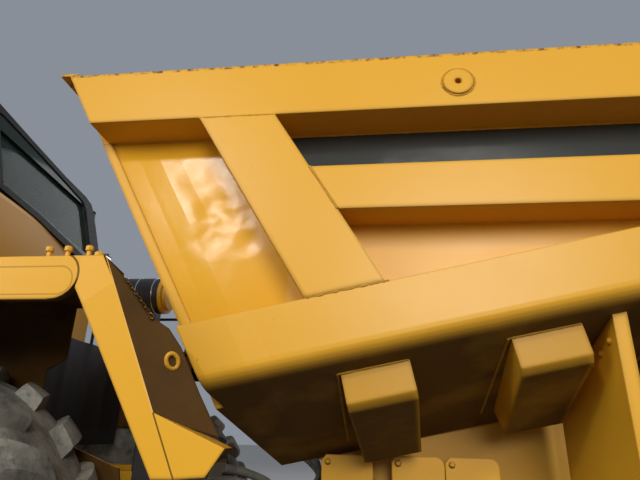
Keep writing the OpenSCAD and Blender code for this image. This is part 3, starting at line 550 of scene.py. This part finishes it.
rubber = Finish("dusty_rubber", "tyre_rubber", (0.11, 0.108, 0.092), 0.92)
rubber_dust = rubber.noise(6.0, 8.0, 0.7).between(0.30, 0.66)
rubber_tone = rubber.mix(rubber_dust, (0.050, 0.049, 0.042), (0.25, 0.245, 0.205))
rubber_mud = rubber.noise(1.8, 5.0).between(0.55, 0.75)*0.6
rubber.set("Base Color", rubber.mix(rubber_mud, rubber_tone, (0.30, 0.25, 0.18)))
rubber_cuts = rubber.noise(34.0, 5.0, 0.7, (1, 3, 1)).between(0.30, 0.42)
rubber.bump(rubber.noise(80.0, 6.0, 0.7)*0.003 + rubber_cuts*0.003)

turns = np.linspace(0, 1, 15)
crown_half, crown_radius = tyre_section(turns, 0.0)
wall_radius = np.linspace(WIDEST_RADIUS, SEAT_RADIUS, 8)[1:]
wall_drop = (WIDEST_RADIUS - wall_radius)/(WIDEST_RADIUS - SEAT_RADIUS)
wall_half = crown_half[0] - (crown_half[0] - SEAT_HALF)*wall_drop**2.2
side_half = np.concatenate([wall_half[::-1], crown_half])
side_radius = np.concatenate([wall_radius[::-1], crown_radius])
ring_half = np.concatenate([side_half, -side_half[-2::-1]])
ring_radius = np.concatenate([side_radius, side_radius[-2::-1]])
round_trip = np.linspace(0, 2*math.pi, 90, endpoint=False)
lug_turn = np.array([0.03, 0.10, 0.20, 0.32, 0.42, 0.45, 0.50, 0.56, 0.62, 0.65, 0.75, 0.86, 0.93, 0.97])[:, None]
lug_side = np.array([-1.0, -0.90, -0.80, -0.34, -0.26, 0.26, 0.34, 0.80, 0.90, 1.0])
lug_lift = np.array([0.0, 0.75, 1.0, 1.0, 1.0, 1.0, 1.0, 1.0, 0.75, 0.0])
dimple = ((lug_turn > 0.43) & (lug_turn < 0.64))*(abs(lug_side) < 0.30)
low_half, low_radius = tyre_section(lug_turn, -0.12)
high_half, high_radius = tyre_section(lug_turn, 1.0)
lift = lug_lift - 0.32*dimple
lug_across = low_half + (high_half - low_half)*lift
lug_radius = low_radius + (high_radius - low_radius)*lift
lug_width = 0.094 - 0.020*lug_turn
lug_sweep = 0.19*(lug_across/TYRE_HALF - 0.5) + 0.10*(lug_across/TYRE_HALF - 0.5)**2
for name, x, y, sign in WHEELS:
    wheel = f"wheel_{name}"
    carcass = wheel_points(round_trip[:, None], ring_half, ring_radius, x, y, sign)
    lugs = []
    for row, first_lug in ((1, 0.75), (-1, 0.25)):
        start = (np.arange(LUGS) + first_lug)*2*math.pi/LUGS
        turned = start[:, None, None] + lug_sweep + lug_side*lug_width/lug_radius
        lugs.append(wheel_points(turned, row*lug_across, lug_radius, x, y, sign))
    tyre = surface(f"tyre_carcass_{name}", carcass, rubber, wheel, (True, True))
    surface(f"tyre_lugs_{name}", np.concatenate(lugs), rubber, wheel, (False, True), True)
    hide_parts(f"tyre_{name}")

# Rims. Welded steel wheels in the truck's yellow with a black lock ring, a stepped planetary hub and a ring
# of wheel nuts. The CAD rim stays, and the nuts, the hub's cap with its bolts and the lock ring are added on it.
WHEEL_NUTS = dict(ring=0.245, count=20, flat=0.034, base=0.098, top=0.128)
HUB_BOLTS = dict(ring=0.165, count=12, flat=0.022, base=0.148, top=0.164)
LOCK_HALF, LOCK_RADIUS, LOCK_BAR = 0.322, 0.309, 0.011


def ring_of_bolts(x, y, sign, ring, count, flat, base, top):
    """Six-sided nuts on a ring round an axle, from base to top: a nut's corners turn about its own middle."""
    place = np.arange(count)*2*math.pi/count
    corner = np.arange(6)*math.pi/3
    side = flat/math.sqrt(3)*np.array([1.0, 1.0, 0.82])[:, None, None]
    out = np.array([base, top - flat*0.08, top])[:, None, None]
    east = ring*np.sin(place)[:, None] + side*np.cos(corner)
    north = ring*np.cos(place)[:, None] + side*np.sin(corner)
    points = np.stack([x + east, np.broadcast_to(y + sign*out, east.shape), AXLE_HEIGHT + north], -1)
    return points.transpose(1, 0, 2, 3)


cap_half, cap_radius = np.array([(0.149, 0.140), (0.160, 0.138), (0.166, 0.128), (0.168, 0.001)]).T
lock_turn = np.linspace(0, 2*math.pi, 16, endpoint=False)
lock_half = LOCK_HALF + LOCK_BAR*np.cos(lock_turn)
lock_radius = LOCK_RADIUS + LOCK_BAR*np.sin(lock_turn)
for name, x, y, sign in WHEELS:
    wheel = f"wheel_{name}"
    dress(frame_yellow, f"rim_{name}")
    for piece, bolts in (("wheel_nuts", WHEEL_NUTS), ("hub_bolts", HUB_BOLTS)):
        surface(f"{piece}_{name}", ring_of_bolts(x, y, sign, **bolts), frame_yellow, wheel, (False, True), True)
    cap = wheel_points(round_trip[:, None], cap_half, cap_radius, x, y, sign)
    surface(f"hub_cap_{name}", cap, frame_yellow, wheel, (True, False))
    lock = wheel_points(round_trip[:, None], lock_half, lock_radius, x, y, sign)
    surface(f"lock_ring_{name}", lock, black, wheel, (True, True))

# Weld beads. Every rail, post, rib and plate of the body is joined by a hand-laid bead of weld, painted over.
# A bead is a thin tube half sunk in the corner, with the slow ripple of the welder's hand.
BODY_HALF = 1.56
RISE = math.tan(math.radians(12.0))
LEAN = math.tan(math.radians(29.5))
POST_LEAN = math.tan(math.radians(31.2))
VEE = math.tan(math.radians(19.5))
RAIL_LOW, MID_LOW, MID_HIGH = 3.015, 2.494, 2.714
POST_FRONT, POST_WIDE = 1.398, 0.385
bead_rng = np.random.default_rng(7)


def low_z(x):
    """Height of the side beam's lower edge, a line that rises towards the tail."""
    return 1.713 + (1.246 - x)*RISE


def beam_z(x):
    """Height of the side beam's top, one beam height above its lower edge."""
    return low_z(x) + 0.278


def beam_x(z):
    """Where the side beam's top reaches a height, its line solved for X."""
    return 1.246 - (z - 1.991)/RISE


def post_x(z):
    """Front edge of the slanted post, leaning back with depth below the top rail."""
    return POST_FRONT - (RAIL_LOW - z)*POST_LEAN


def strip_x(z):
    """Where the side sheet ends in front, at a strip that leans forward with height."""
    return 1.246 + (z - 1.713)*LEAN - 0.015


def vee_z(x, y):
    """Height of the underside, falling towards the middle from the side beam's lower edge."""
    return low_z(x) - (BODY_HALF - abs(y))*VEE


def walk(corners, step):
    """Points along a path of straight runs, about one step apart, between its corners."""
    corners = np.asarray(corners, float)
    runs = np.linalg.norm(np.diff(corners, axis=0), axis=1)
    far = np.concatenate([[0.0], np.cumsum(runs)])
    places = np.linspace(0.0, far[-1], max(2, int(far[-1]/step)))
    return np.stack([np.interp(places, far, corners[:, axis]) for axis in range(3)], -1)


def circle(middle, radius, axis, count=41):
    """Points once round a middle, square to an axis: the cosine along the next one, the sine along the last."""
    spin = np.linspace(0, 2*math.pi, count)
    points = np.tile(np.asarray(middle, float), (count, 1))
    points[:, [k for k in range(3) if k != axis]] += radius*np.stack([np.cos(spin), np.sin(spin)], -1)
    return points


def rings(path, wide, sides):
    """Rings of points square to a path, one round each of its points, with the radius given for that point."""
    along = unit(np.gradient(path, axis=0))
    helper = np.where(abs(along[:, 2:]) > 0.9, [1.0, 0.0, 0.0], [0.0, 0.0, 1.0])
    side = unit(np.cross(along, helper))
    over = np.cross(along, side)
    angle = np.linspace(0, 2*math.pi, sides, endpoint=False)
    ring = side[:, None]*np.cos(angle)[:, None] + over[:, None]*np.sin(angle)[:, None]
    return path[:, None] + ring*wide[:, None, None]


def tube(name, corners, radius, finish, body, step=0.02, sides=8, ripple=0.0):
    """A round tube along a path, with an even random ripple in its radius."""
    path = walk(corners, step)
    wide = radius*(1 + ripple*bead_rng.uniform(-1, 1, len(path)))
    surface(name, rings(path, wide, sides), finish, body, (False, True), True, 60)


BEAD = 0.0065
POST_REAR = POST_FRONT - POST_WIDE
POST_LOW_FRONT, POST_LOW_REAR = 2.066, 2.128
low_front, low_rear = post_x(POST_LOW_FRONT), post_x(POST_LOW_REAR) - POST_WIDE
RIBS, RIB_FIRST, RIB_PITCH, RIB_HALF = 7, 0.552, 0.714, 0.1485
RIB_OUT, RIB_IN = 1.43, 0.68
BOSS_X, BOSS_Z, BOSS_WELD = 0.119, 3.147, 0.077
welds = []
for sign in (1, -1):
    sheet, outer, face = sign*SHEET, sign*BODY_HALF, sign*(BODY_HALF - 0.004)
    welds += [
        [(POST_FRONT, sheet, RAIL_LOW), (low_front, sheet, POST_LOW_FRONT)],
        [(POST_REAR, sheet, RAIL_LOW), (low_rear, sheet, POST_LOW_REAR)],
        [(POST_FRONT, sheet, RAIL_LOW), (POST_FRONT, face, RAIL_LOW), (POST_REAR, face, RAIL_LOW),
         (POST_REAR, sheet, RAIL_LOW)],
        [(strip_x(RAIL_LOW), sheet, RAIL_LOW), (POST_FRONT, sheet, RAIL_LOW)],
        [(POST_REAR, sheet, RAIL_LOW), (beam_x(RAIL_LOW), sheet, RAIL_LOW)],
        [(strip_x(2.0), sheet, 1.967), (low_front, sheet, POST_LOW_FRONT)],
        [(low_front, face, beam_z(low_front)), (low_rear, face, beam_z(low_rear))],
        [(low_rear, sheet, beam_z(low_rear)), (beam_x(MID_LOW), sheet, MID_LOW)],
        [(post_x(MID_LOW) - POST_WIDE, sheet, MID_LOW), (beam_x(MID_LOW), sheet, MID_LOW)],
        [(post_x(MID_HIGH) - POST_WIDE, sheet, MID_HIGH), (beam_x(MID_HIGH), sheet, MID_HIGH)],
        [(beam_x(MID_HIGH), sheet, MID_HIGH), (beam_x(RAIL_LOW), sheet, RAIL_LOW)],
        [(post_x(MID_LOW) - POST_WIDE, outer, MID_LOW), (post_x(MID_HIGH) - POST_WIDE, outer, MID_HIGH)]]
    for k in range(RIBS):
        middle = RIB_FIRST - RIB_PITCH*k
        feet = [[(x, sign*y, vee_z(x, y)) for y in (RIB_OUT, RIB_IN)] for x in (middle - RIB_HALF, middle + RIB_HALF)]
        welds += feet + [[feet[0][0], feet[1][0]]]
for k, corners in enumerate(welds):
    tube(f"weld_{k:02d}", corners, BEAD, body_yellow, "dump_body", 0.012, 6, 0.22)
for side, sign in SIDES:
    ring = circle((BOSS_X, sign*(BODY_HALF - 0.001), BOSS_Z), BOSS_WELD, 1, 49)
    tube(f"boss_weld_{side}", ring, 0.006, body_yellow, "dump_body", 0.010, 6, 0.35)

# Fender fittings. Three hex bolts and one with a collar stand in the deck's rear edge, a lifting eye and a short
# chain with its hook are welded to the folded wing, and a lamp sits in the foot. The wing's own turn places eye,
# chain and hook.
FENDER_OUT = 1.76
DECK_EDGE, DECK_TOP = 1.70, 2.218
POST_FOLD, WING_FOLD = math.atan2(0.245, 0.511), math.radians(26.0)


def turn_y(angle):
    """Turn about Y: Z moves towards X."""
    return np.array([[math.cos(angle), 0, math.sin(angle)], [0, 1, 0], [-math.sin(angle), 0, math.cos(angle)]])


def turn_z(angle):
    """Turn about Z: X moves towards Y."""
    return np.array([[math.cos(angle), -math.sin(angle), 0], [math.sin(angle), math.cos(angle), 0], [0, 0, 1]])


def prisms(name, places, axis, turned, sizes, finish, body, sides=6):
    """Round or hex stubs along an axis: sizes lists pairs of distance along the axis and radius."""
    axis = unit(axis)
    helper = [1.0, 0, 0] if abs(axis[2]) > 0.9 else [0, 0, 1.0]
    east = unit(np.cross(helper, axis))
    north = np.cross(axis, east)
    angle = np.arange(sides)*2*math.pi/sides + turned
    far, wide = np.asarray(sizes, float).T
    ring = east*np.cos(angle)[:, None] + north*np.sin(angle)[:, None]
    points = axis*far[:, None, None] + ring*wide[:, None, None]
    points = np.asarray(places, float)[:, None, None] + points
    surface(name, points, finish, body, (False, True), True, 35)


def loops(name, centres, east, north, ring, thick, finish, body):
    """Rings of round bar. Each centre has two axes, and the ring's two half sizes stretch along them."""
    around = np.linspace(0, 2*math.pi, 20, endpoint=False)
    across = np.linspace(0, 2*math.pi, 8, endpoint=False)
    east, north = np.asarray(east, float)[:, None, None], np.asarray(north, float)[:, None, None]
    out = east*np.cos(around)[:, None, None] + north*np.sin(around)[:, None, None]
    line = east*(ring[0]*np.cos(around))[:, None, None] + north*(ring[1]*np.sin(around))[:, None, None]
    up = np.cross(east, north)
    tube_part = out*(thick*np.cos(across))[:, None] + up*(thick*np.sin(across))[:, None]
    points = np.asarray(centres, float)[:, None, None] + line + tube_part
    surface(name, points, finish, body, (True, True))


post = np.array([1.350, FENDER_OUT, 1.607])
wing = turn_y(POST_FOLD) @ turn_z(WING_FOLD)
links = np.arange(11)
for side, sign in SIDES:
    flip = np.array([1.0, sign, 1.0])
    tops = [(x, sign*DECK_EDGE, DECK_TOP) for x in (1.939, 1.852, 1.755)]
    prisms(f"deck_bolt_shanks_{side}", tops, (0, 0, 1), 0.0, [(0, 0.010), (0.050, 0.010)], cab_yellow, "tractor", 12)
    prisms(f"deck_bolt_heads_{side}", tops, (0, 0, 1), 0.3, [(0.040, 0.017), (0.060, 0.017), (0.064, 0.013)],
           cab_yellow, "tractor")
    prisms(f"deck_cap_bolt_{side}", [(1.707, sign*DECK_EDGE, DECK_TOP)], (0, 0, 1), 0.2,
           [(0, 0.026), (0.006, 0.026), (0.007, 0.019), (0.030, 0.019), (0.036, 0.013)], cab_yellow, "tractor")
    eye = post + wing @ np.array([-0.120, 0.010, 0.154])
    loops(f"lifting_eye_{side}", [eye*flip], [wing @ [1, 0, 0]*flip], [wing @ [0, 0.35, 0.94]*flip],
          (0.022, 0.030), 0.0085, body_yellow, "tractor")
    hang = np.array([-0.050, 0.009, 0.536]) + links[:, None]*np.array([-0.0042, 0.0, -0.0158])
    chain = (post + hang @ wing.T)*flip
    down = unit(chain[1] - chain[0])
    out = wing @ [0, 1, 0]*flip
    flat = np.cross(down, out)
    turned = np.where((links % 2)[:, None] == 0, flat, out)
    loops(f"chain_{side}", chain, np.broadcast_to(down, chain.shape), turned, (0.0108, 0.0058), 0.0022,
          fender_yellow, "tractor")
    loops(f"chain_hook_{side}", [chain[-1] + down*0.022], [down], [flat], (0.013, 0.008), 0.0036, fender_yellow,
          "tractor")
    lamp, lamp_axis = np.array([1.118, 1.710, 1.430])*flip, (-0.75, 0.45*sign, -0.48)
    prisms(f"foot_lamp_frame_{side}", [lamp], lamp_axis, 0.785, [(-0.030, 0.052), (0.016, 0.052), (0.020, 0.046)],
           black, "tractor", 4)
    prisms(f"foot_lamp_lens_{side}", [lamp], lamp_axis, 0.785, [(0.015, 0.043), (0.024, 0.043), (0.028, 0.036)],
           smoky_lens, "tractor", 4)

# Cab trim. Black rubber seals hold the panes, a broad black frame lies round the rear window, the door has a
# pull handle, and a wiper rests on the windscreen. A seal is a flat frame with the pane's rounded outline.
CAB_REAR = np.array([3.045, 0.18, 2.96])
PANE_CORNER = 0.05
rear_turn = turn_z(math.radians(5.0)) @ turn_y(math.radians(17.0))
seal_rubber = Finish("seal_rubber", "cab_plastic", (0.014, 0.013, 0.012), 0.55)
seal_rubber.even("IOR", 1.25)
seal_rubber.set("Roughness", 0.45 + seal_rubber.noise(30.0)*0.25)


def rounded(low, high, radius, count=6):
    """Corners of a rectangle with round corners, each an even quarter turn."""
    turns = np.linspace(0, math.pi/2, count)
    middle = [(high[0] - radius, high[1] - radius, 0), (low[0] + radius, high[1] - radius, 1),
              (low[0] + radius, low[1] + radius, 2), (high[0] - radius, low[1] + radius, 3)]
    return np.concatenate([np.stack([x + radius*np.cos(turns + quarter*math.pi/2),
                                     y + radius*np.sin(turns + quarter*math.pi/2)], -1)
                           for x, y, quarter in middle])


def frame_ring(name, low, high, wide, plane, inward, body):
    """A rubber frame round an opening in a side wall, four loops from its outer foot to its inner foot."""
    outer = rounded(np.array(low) - wide, np.array(high) + wide, PANE_CORNER + wide*0.5)
    inner = rounded(low, high, PANE_CORNER)
    face = outer + (inner - outer)*0.08
    rows = [np.stack([line[:, 0], np.full(len(line), plane + inward*deep), line[:, 1]], -1)
            for deep, line in ((0.001, outer), (-0.010, face), (-0.012, inner), (0.022, inner))]
    surface(name, rows, seal_rubber, body, (False, True), False, 30)


REAR_OUTER = [(-0.792, -0.130), (-0.798, 0.408), (-0.788, 0.590), (-0.765, 0.650), (-0.652, 0.683),
              (-0.288, 0.693), (0.240, 0.741), (0.680, 0.790), (0.765, 0.760), (0.765, 0.055), (0.300, 0.022),
              (-0.280, -0.070)]
REAR_INNER = [(-0.600, -0.050), (-0.612, 0.400), (-0.614, 0.510), (-0.596, 0.560), (-0.555, 0.590),
              (-0.288, 0.622), (0.200, 0.672), (0.650, 0.707), (0.690, 0.690), (0.690, 0.098), (0.234, 0.072),
              (-0.299, 0.001)]
REAR_CLEAR = [(-0.600, 0.030), (-0.612, 0.400), (-0.614, 0.510), (-0.596, 0.545), (-0.555, 0.560),
              (-0.288, 0.560), (0.200, 0.560), (0.650, 0.560), (0.690, 0.555), (0.690, 0.110), (0.234, 0.100),
              (-0.299, 0.040)]


def rear_rings(*layers):
    """Loops on the cab's leaning rear face, from pairs of distance into the cab and outline."""
    rows = [np.concatenate([np.full((len(line), 1), out), np.array(line)], 1) for out, line in layers]
    return CAB_REAR + np.stack(rows) @ rear_turn.T


dark_edge = Finish("glass_edge", "tinted_glass", (0.022, 0.034, 0.031), 0.06)
dark_edge.even("IOR", 1.14)
dark_edge.set("Roughness", 0.05 + dark_edge.noise(4.0, 4.0).between(0.5, 0.8)*0.10)
surface("rear_window_frame", rear_rings((0.030, REAR_OUTER), (-0.012, REAR_OUTER), (-0.016, REAR_INNER),
                                        (0.004, REAR_INNER)), seal_rubber, "tractor", (False, True), False, 30)
surface("rear_glass_edge", rear_rings((-0.006, REAR_INNER), (-0.006, REAR_CLEAR), (0.020, REAR_CLEAR)), dark_edge,
        "tractor", (False, True), False, 30)
frame_ring("right_window_frame", (3.385, 2.910), (4.095, 3.470), 0.030, -0.600, 1, "tractor")
frame_ring("door_window_frame", (3.395, 2.860), (3.905, 3.390), 0.022, 0.958, -1, "door")
tube("door_handle", [(3.93, 0.958, 2.66), (3.93, 0.985, 2.67), (3.93, 0.985, 2.83), (3.93, 0.958, 2.84)], 0.009,
     seal_rubber, "door", 0.008)
wiper_foot = np.array([4.440, 0.16, 2.835])
tube("wiper_arm", [wiper_foot, wiper_foot + [-0.060, 0.20, 0.30]], 0.007, seal_rubber, "tractor", 0.03, 6)
tube("wiper_blade", [wiper_foot + [-0.025, 0.16, 0.08], wiper_foot + [-0.105, 0.24, 0.52]], 0.009, seal_rubber,
     "tractor", 0.03, 6)

# Hood, lamps and mirrors. The hood has pressed louvres on both sides and two rubber latches a side, each
# headlamp a black bezel, and each mirror its glass. The air cleaner has clamped bands and a yellow end cap.
LOUVRE = np.array([(0, 0), (0.012, 0.010), (0.030, 0.011), (0.032, 0)])
LOUVRES, LOUVRE_FIRST, LOUVRE_PITCH, LOUVRE_HIGH = 11, 4.62, 0.045, 0.19
HOOD_SIDE = 0.700
for side, sign in SIDES:
    louvres = [[np.stack([LOUVRE_FIRST + LOUVRE_PITCH*k + LOUVRE[:, 0], sign*(HOOD_SIDE + LOUVRE[:, 1]),
                          np.full(len(LOUVRE), z)], -1) for z in (low, low + LOUVRE_HIGH)]
               for low in (1.72, 1.98) for k in range(LOUVRES)]
    surface(f"hood_louvres_{side}", louvres, cab_yellow, "hood_lid", (False, True), True, 30)
    latches = [(x, sign*HOOD_SIDE, 1.585) for x in (4.60, 5.02)]
    prisms(f"hood_latches_{side}", latches, (0, sign, 0), 0.785, [(0, 0.034), (0.014, 0.034), (0.022, 0.022)],
           seal_rubber, "hood_lid", 4)
    loops(f"headlamp_bezel_{side}", [(5.428, sign*0.95, 0.90)], [(0, 1, 0)], [(0, 0, 1)], (0.108, 0.108), 0.007,
          black, "tractor")
    mirror = rounded((1.608, 2.995), (1.742, 3.430), 0.02)
    rows = [np.stack([np.full(len(mirror), x), sign*mirror[:, 0], mirror[:, 1]], -1) for x in (3.672, 3.677)]
    surface(f"mirror_glass_{side}", rows, chrome, "tractor", (False, True), True)
for k, x in enumerate((2.86, 3.04, 3.20)):
    tube(f"air_cleaner_band_{k}", circle((x, -1.4, 2.878), 0.192, 0), 0.006, chrome, "tractor", 0.03, 6)
cleaner = Finish("cleaner_paint", "black_paint", (0.02, 0.02, 0.021), 0.4)
cleaner.set("Base Color", cleaner.mix(cleaner.part("X") < 2.795, (0.022, 0.022, 0.023), YELLOW))
dress(cleaner, "air_cleaner")

# Mudguards and rests. Domed carriage bolts run along the mudguard plate's welded edge, and each rest plate
# has a bolt in its upper front corner and a bead along its foot.
GUARD_BOLTS = 0.76 + 0.62*np.linspace(0.0, 1.0, 7)
RESTS = (0.665, 0.284, 0.0)
REST_SIDE = 0.620
for side, sign in SIDES:
    domes = [(-0.441, sign*y, vee_z(-0.441, y) - 0.075) for y in GUARD_BOLTS]
    prisms(f"guard_bolts_{side}", domes, (1, 0, 0), 0.0,
           [(0.004, 0.017), (0.012, 0.016), (0.017, 0.011), (0.019, 0.004)], body_yellow, "dump_body", 14)
    prisms(f"rest_bolts_{side}", [(x + 0.150, sign*REST_SIDE, 1.405) for x in RESTS], (0, sign, 0), 0.2,
           [(0, 0.019), (0.004, 0.019), (0.005, 0.014), (0.014, 0.014), (0.017, 0.010)], frame_yellow, "rear_unit")
    for k, x in enumerate(RESTS):
        foot = [(east, sign*(REST_SIDE + 0.001), 1.201) for east in (x - 0.093, x + 0.183)]
        tube(f"rest_weld_{side}_{k}", foot, 0.006, frame_yellow, "rear_unit", 0.012, 6, 0.25)

# Cylinders and pipes. Each cylinder ends in a round gland nut, and each hoist barrel carries its hard oil line
# on brackets. The exhaust has three strap bands and a rain flap, and every handrail post a bolted foot.
HOIST_AXIS, STEER_AXIS = np.array([-0.9021342, 0.0, 0.4314555]), np.array([-0.994666, -0.103151, 0.0])
EXHAUST = np.array([3.590, -1.030, 0.0])
for side, sign in SIDES:
    barrel = f"hoist_barrel_{side}_body"
    foot = np.array([-1.1, 0.72*sign, 0.95])
    prisms(f"hoist_gland_{side}", [foot], HOIST_AXIS, 0.0,
           [(2.395, 0.100), (2.398, 0.109), (2.440, 0.109), (2.446, 0.102)], black, barrel, 28)
    line, inwards = foot + [0, 0.116*sign, 0], np.array([0, -0.03*sign, 0])
    tube(f"hoist_line_{side}", [line + HOIST_AXIS*0.20 + inwards, line + HOIST_AXIS*0.24, line + HOIST_AXIS*2.30,
                                line + HOIST_AXIS*2.34 + inwards], 0.009, chrome, barrel, 0.03, 10)
    prisms(f"hoist_clips_{side}", [line + HOIST_AXIS*far + inwards*0.4 for far in (0.6, 1.2, 1.8)], HOIST_AXIS, 0.785,
           [(-0.015, 0.022), (0.015, 0.022)], black, barrel, 4)
    prisms(f"steer_gland_{side}", [(2.11, 0.52*sign, 0.95)], STEER_AXIS*(1, sign, 1), 0.0,
           [(0.868, 0.058), (0.870, 0.064), (0.902, 0.064), (0.906, 0.059)], black, f"steer_barrel_{side}_body", 24)
    feet = [(x, sign*DECK_EDGE, DECK_TOP) for x in (2.600, 3.080, 3.560)]
    prisms(f"handrail_feet_{side}", feet, (0, 0, 1), 0.785, [(0.0, 0.060), (0.008, 0.060), (0.010, 0.056)], black,
           "tractor", 4)
    screws = [(x + dx, y + dy, z) for x, y, z in feet for dx in (-0.030, 0.030) for dy in (-0.030, 0.030)]
    prisms(f"handrail_screws_{side}", screws, (0, 0, 1), 0.2, [(0.008, 0.009), (0.014, 0.009), (0.016, 0.007)],
           chrome, "tractor")
for k, z in enumerate((2.300, 2.660, 3.040)):
    tube(f"exhaust_strap_{k}", circle(EXHAUST + (0, 0, z), 0.1215, 2), 0.006, chrome, "tractor", 0.03, 6)
prisms("rain_flap", [EXHAUST + (0, 0, 3.704)], (0.22, 0, 1), 0.0, [(0.0, 0.058), (0.005, 0.058)], black, "tractor",
       24)

# Driver's seat. Two stitched cushions of dark cloth lie on the seat's steel frame. Each is a rounded box, the
# cosine and sine of two turns raised to a power below one.
cloth = Finish("seat_cloth", "cab_plastic", (0.035, 0.037, 0.045), 0.9)
cloth.set("Base Color", cloth.mix(cloth.noise(9.0, 5.0), (0.028, 0.030, 0.038), (0.075, 0.072, 0.070)))
cloth.bump(cloth.noise(500.0, 2.0)*0.0006)


def squared(value):
    """A value raised to a power below one, its sign kept."""
    return np.sign(value)*abs(value)**0.35


def pillow(name, middle, half, lean):
    """A rounded box about a middle with three half sizes, leaning back about Y."""
    rise, spin = np.meshgrid(np.linspace(-1, 1, 15)*math.pi/2, np.linspace(0, 2*math.pi, 32, endpoint=False),
                             indexing="ij")
    points = np.stack([squared(np.cos(rise))*squared(np.cos(spin)), squared(np.cos(rise))*squared(np.sin(spin)),
                       squared(np.sin(rise))], -1)*half
    surface(name, points @ turn_y(lean).T + middle, cloth, "tractor", (False, True))


pillow("seat_cushion", (3.635, 0.18, 2.765), (0.235, 0.245, 0.055), -0.05)
pillow("seat_back", (3.415, 0.18, 3.020), (0.050, 0.235, 0.300), -0.06)

# Splash guard under the cab's rear. A pressed black sheet with upright swages stands on the frame rails and
# keeps the front wheels' mud off the gearbox. Its depth is a raised cosine along Y.
GUARD_X, GUARD_HALF = 2.86, 0.90
rows, columns = np.meshgrid(np.linspace(1.42, 2.185, 5), np.linspace(-GUARD_HALF, GUARD_HALF, 91), indexing="ij")
swage = 0.012*(0.5 + 0.5*np.cos(columns*2*math.pi/0.30))**3
front = np.stack([GUARD_X - swage, columns, rows], -1)
back = np.stack([GUARD_X + 0.004 - swage, columns, rows], -1)
surface("splash_guard", np.concatenate([front, back[::-1]]), black, "tractor", (True, False), False, 30)

# Steering valve block. A dusty iron casting with chamfered edges stands astride the frame rails ahead of the
# hitch, and four hexagon plugs close its top. It is guessed from the type.
BLOCK_X, BLOCK_LOW, BLOCK_TOP = 1.90, 1.19, 1.50
edge_in = np.array([0.0, 0.0, 0.02])[:, None]
east = np.array([1, 1, 0.90, -0.90, -1, -1, -0.90, 0.90])*(0.19 - edge_in)
north = np.array([-0.93, 0.93, 1, 1, 0.93, -0.93, -1, -1])*(0.315 - edge_in)
level = np.array([BLOCK_LOW, BLOCK_TOP - 0.02, BLOCK_TOP])[:, None] + east*0
surface("steering_valve_block", np.stack([BLOCK_X + east, north, level], -1), iron, "tractor", (False, True), True,
        30)
prisms("valve_plugs", [(BLOCK_X + dx, dy, BLOCK_TOP) for dx in (-0.09, 0.09) for dy in (-0.17, 0.17)], (0, 0, 1), 0.3,
       [(0.0, 0.036), (0.024, 0.036), (0.030, 0.030)], black, "tractor")

# Hydraulic hoses behind the fenders' feet. Three corrugated black hoses a side leave the fender's inner side,
# hang in a bend and run in to the frame's fork. Both their ends are on the tractor.
HOSE, GROOVE = 0.019, 0.14
HOSE_PITCH = 0.045
knots, fine = np.linspace(0, 1, 8), np.linspace(0, 1, 160)
for side, sign in SIDES:
    for k in range(3):
        drop = HOSE_PITCH*k
        bends = np.array([(1.300, 1.600, 1.405 - drop), (1.235, 1.42, 1.412 - drop), (1.150, 1.20, 1.385 - drop),
                          (1.060, 1.02, 1.330 - drop), (1.020, 0.88, 1.245 - drop), (1.080, 0.74, 1.130 - drop*0.6),
                          (1.260, 0.60, 1.060 - drop*0.6), (1.500, 0.545, 1.040 - drop*0.6)])
        smooth = np.stack([np.interp(fine, knots, bends[:, axis]) for axis in range(3)], -1)
        for _ in range(60):
            smooth[1:-1] = (smooth[:-2] + smooth[1:-1]*2 + smooth[2:])/4
        path = walk(smooth*(1, sign, 1), 0.006)
        wide = HOSE*(1 - GROOVE*(np.arange(len(path)) % 2))
        surface(f"hose_{side}_{k}", rings(path, wide, 12), rubber, "tractor", (False, True), True, 60, "cab_plastic")
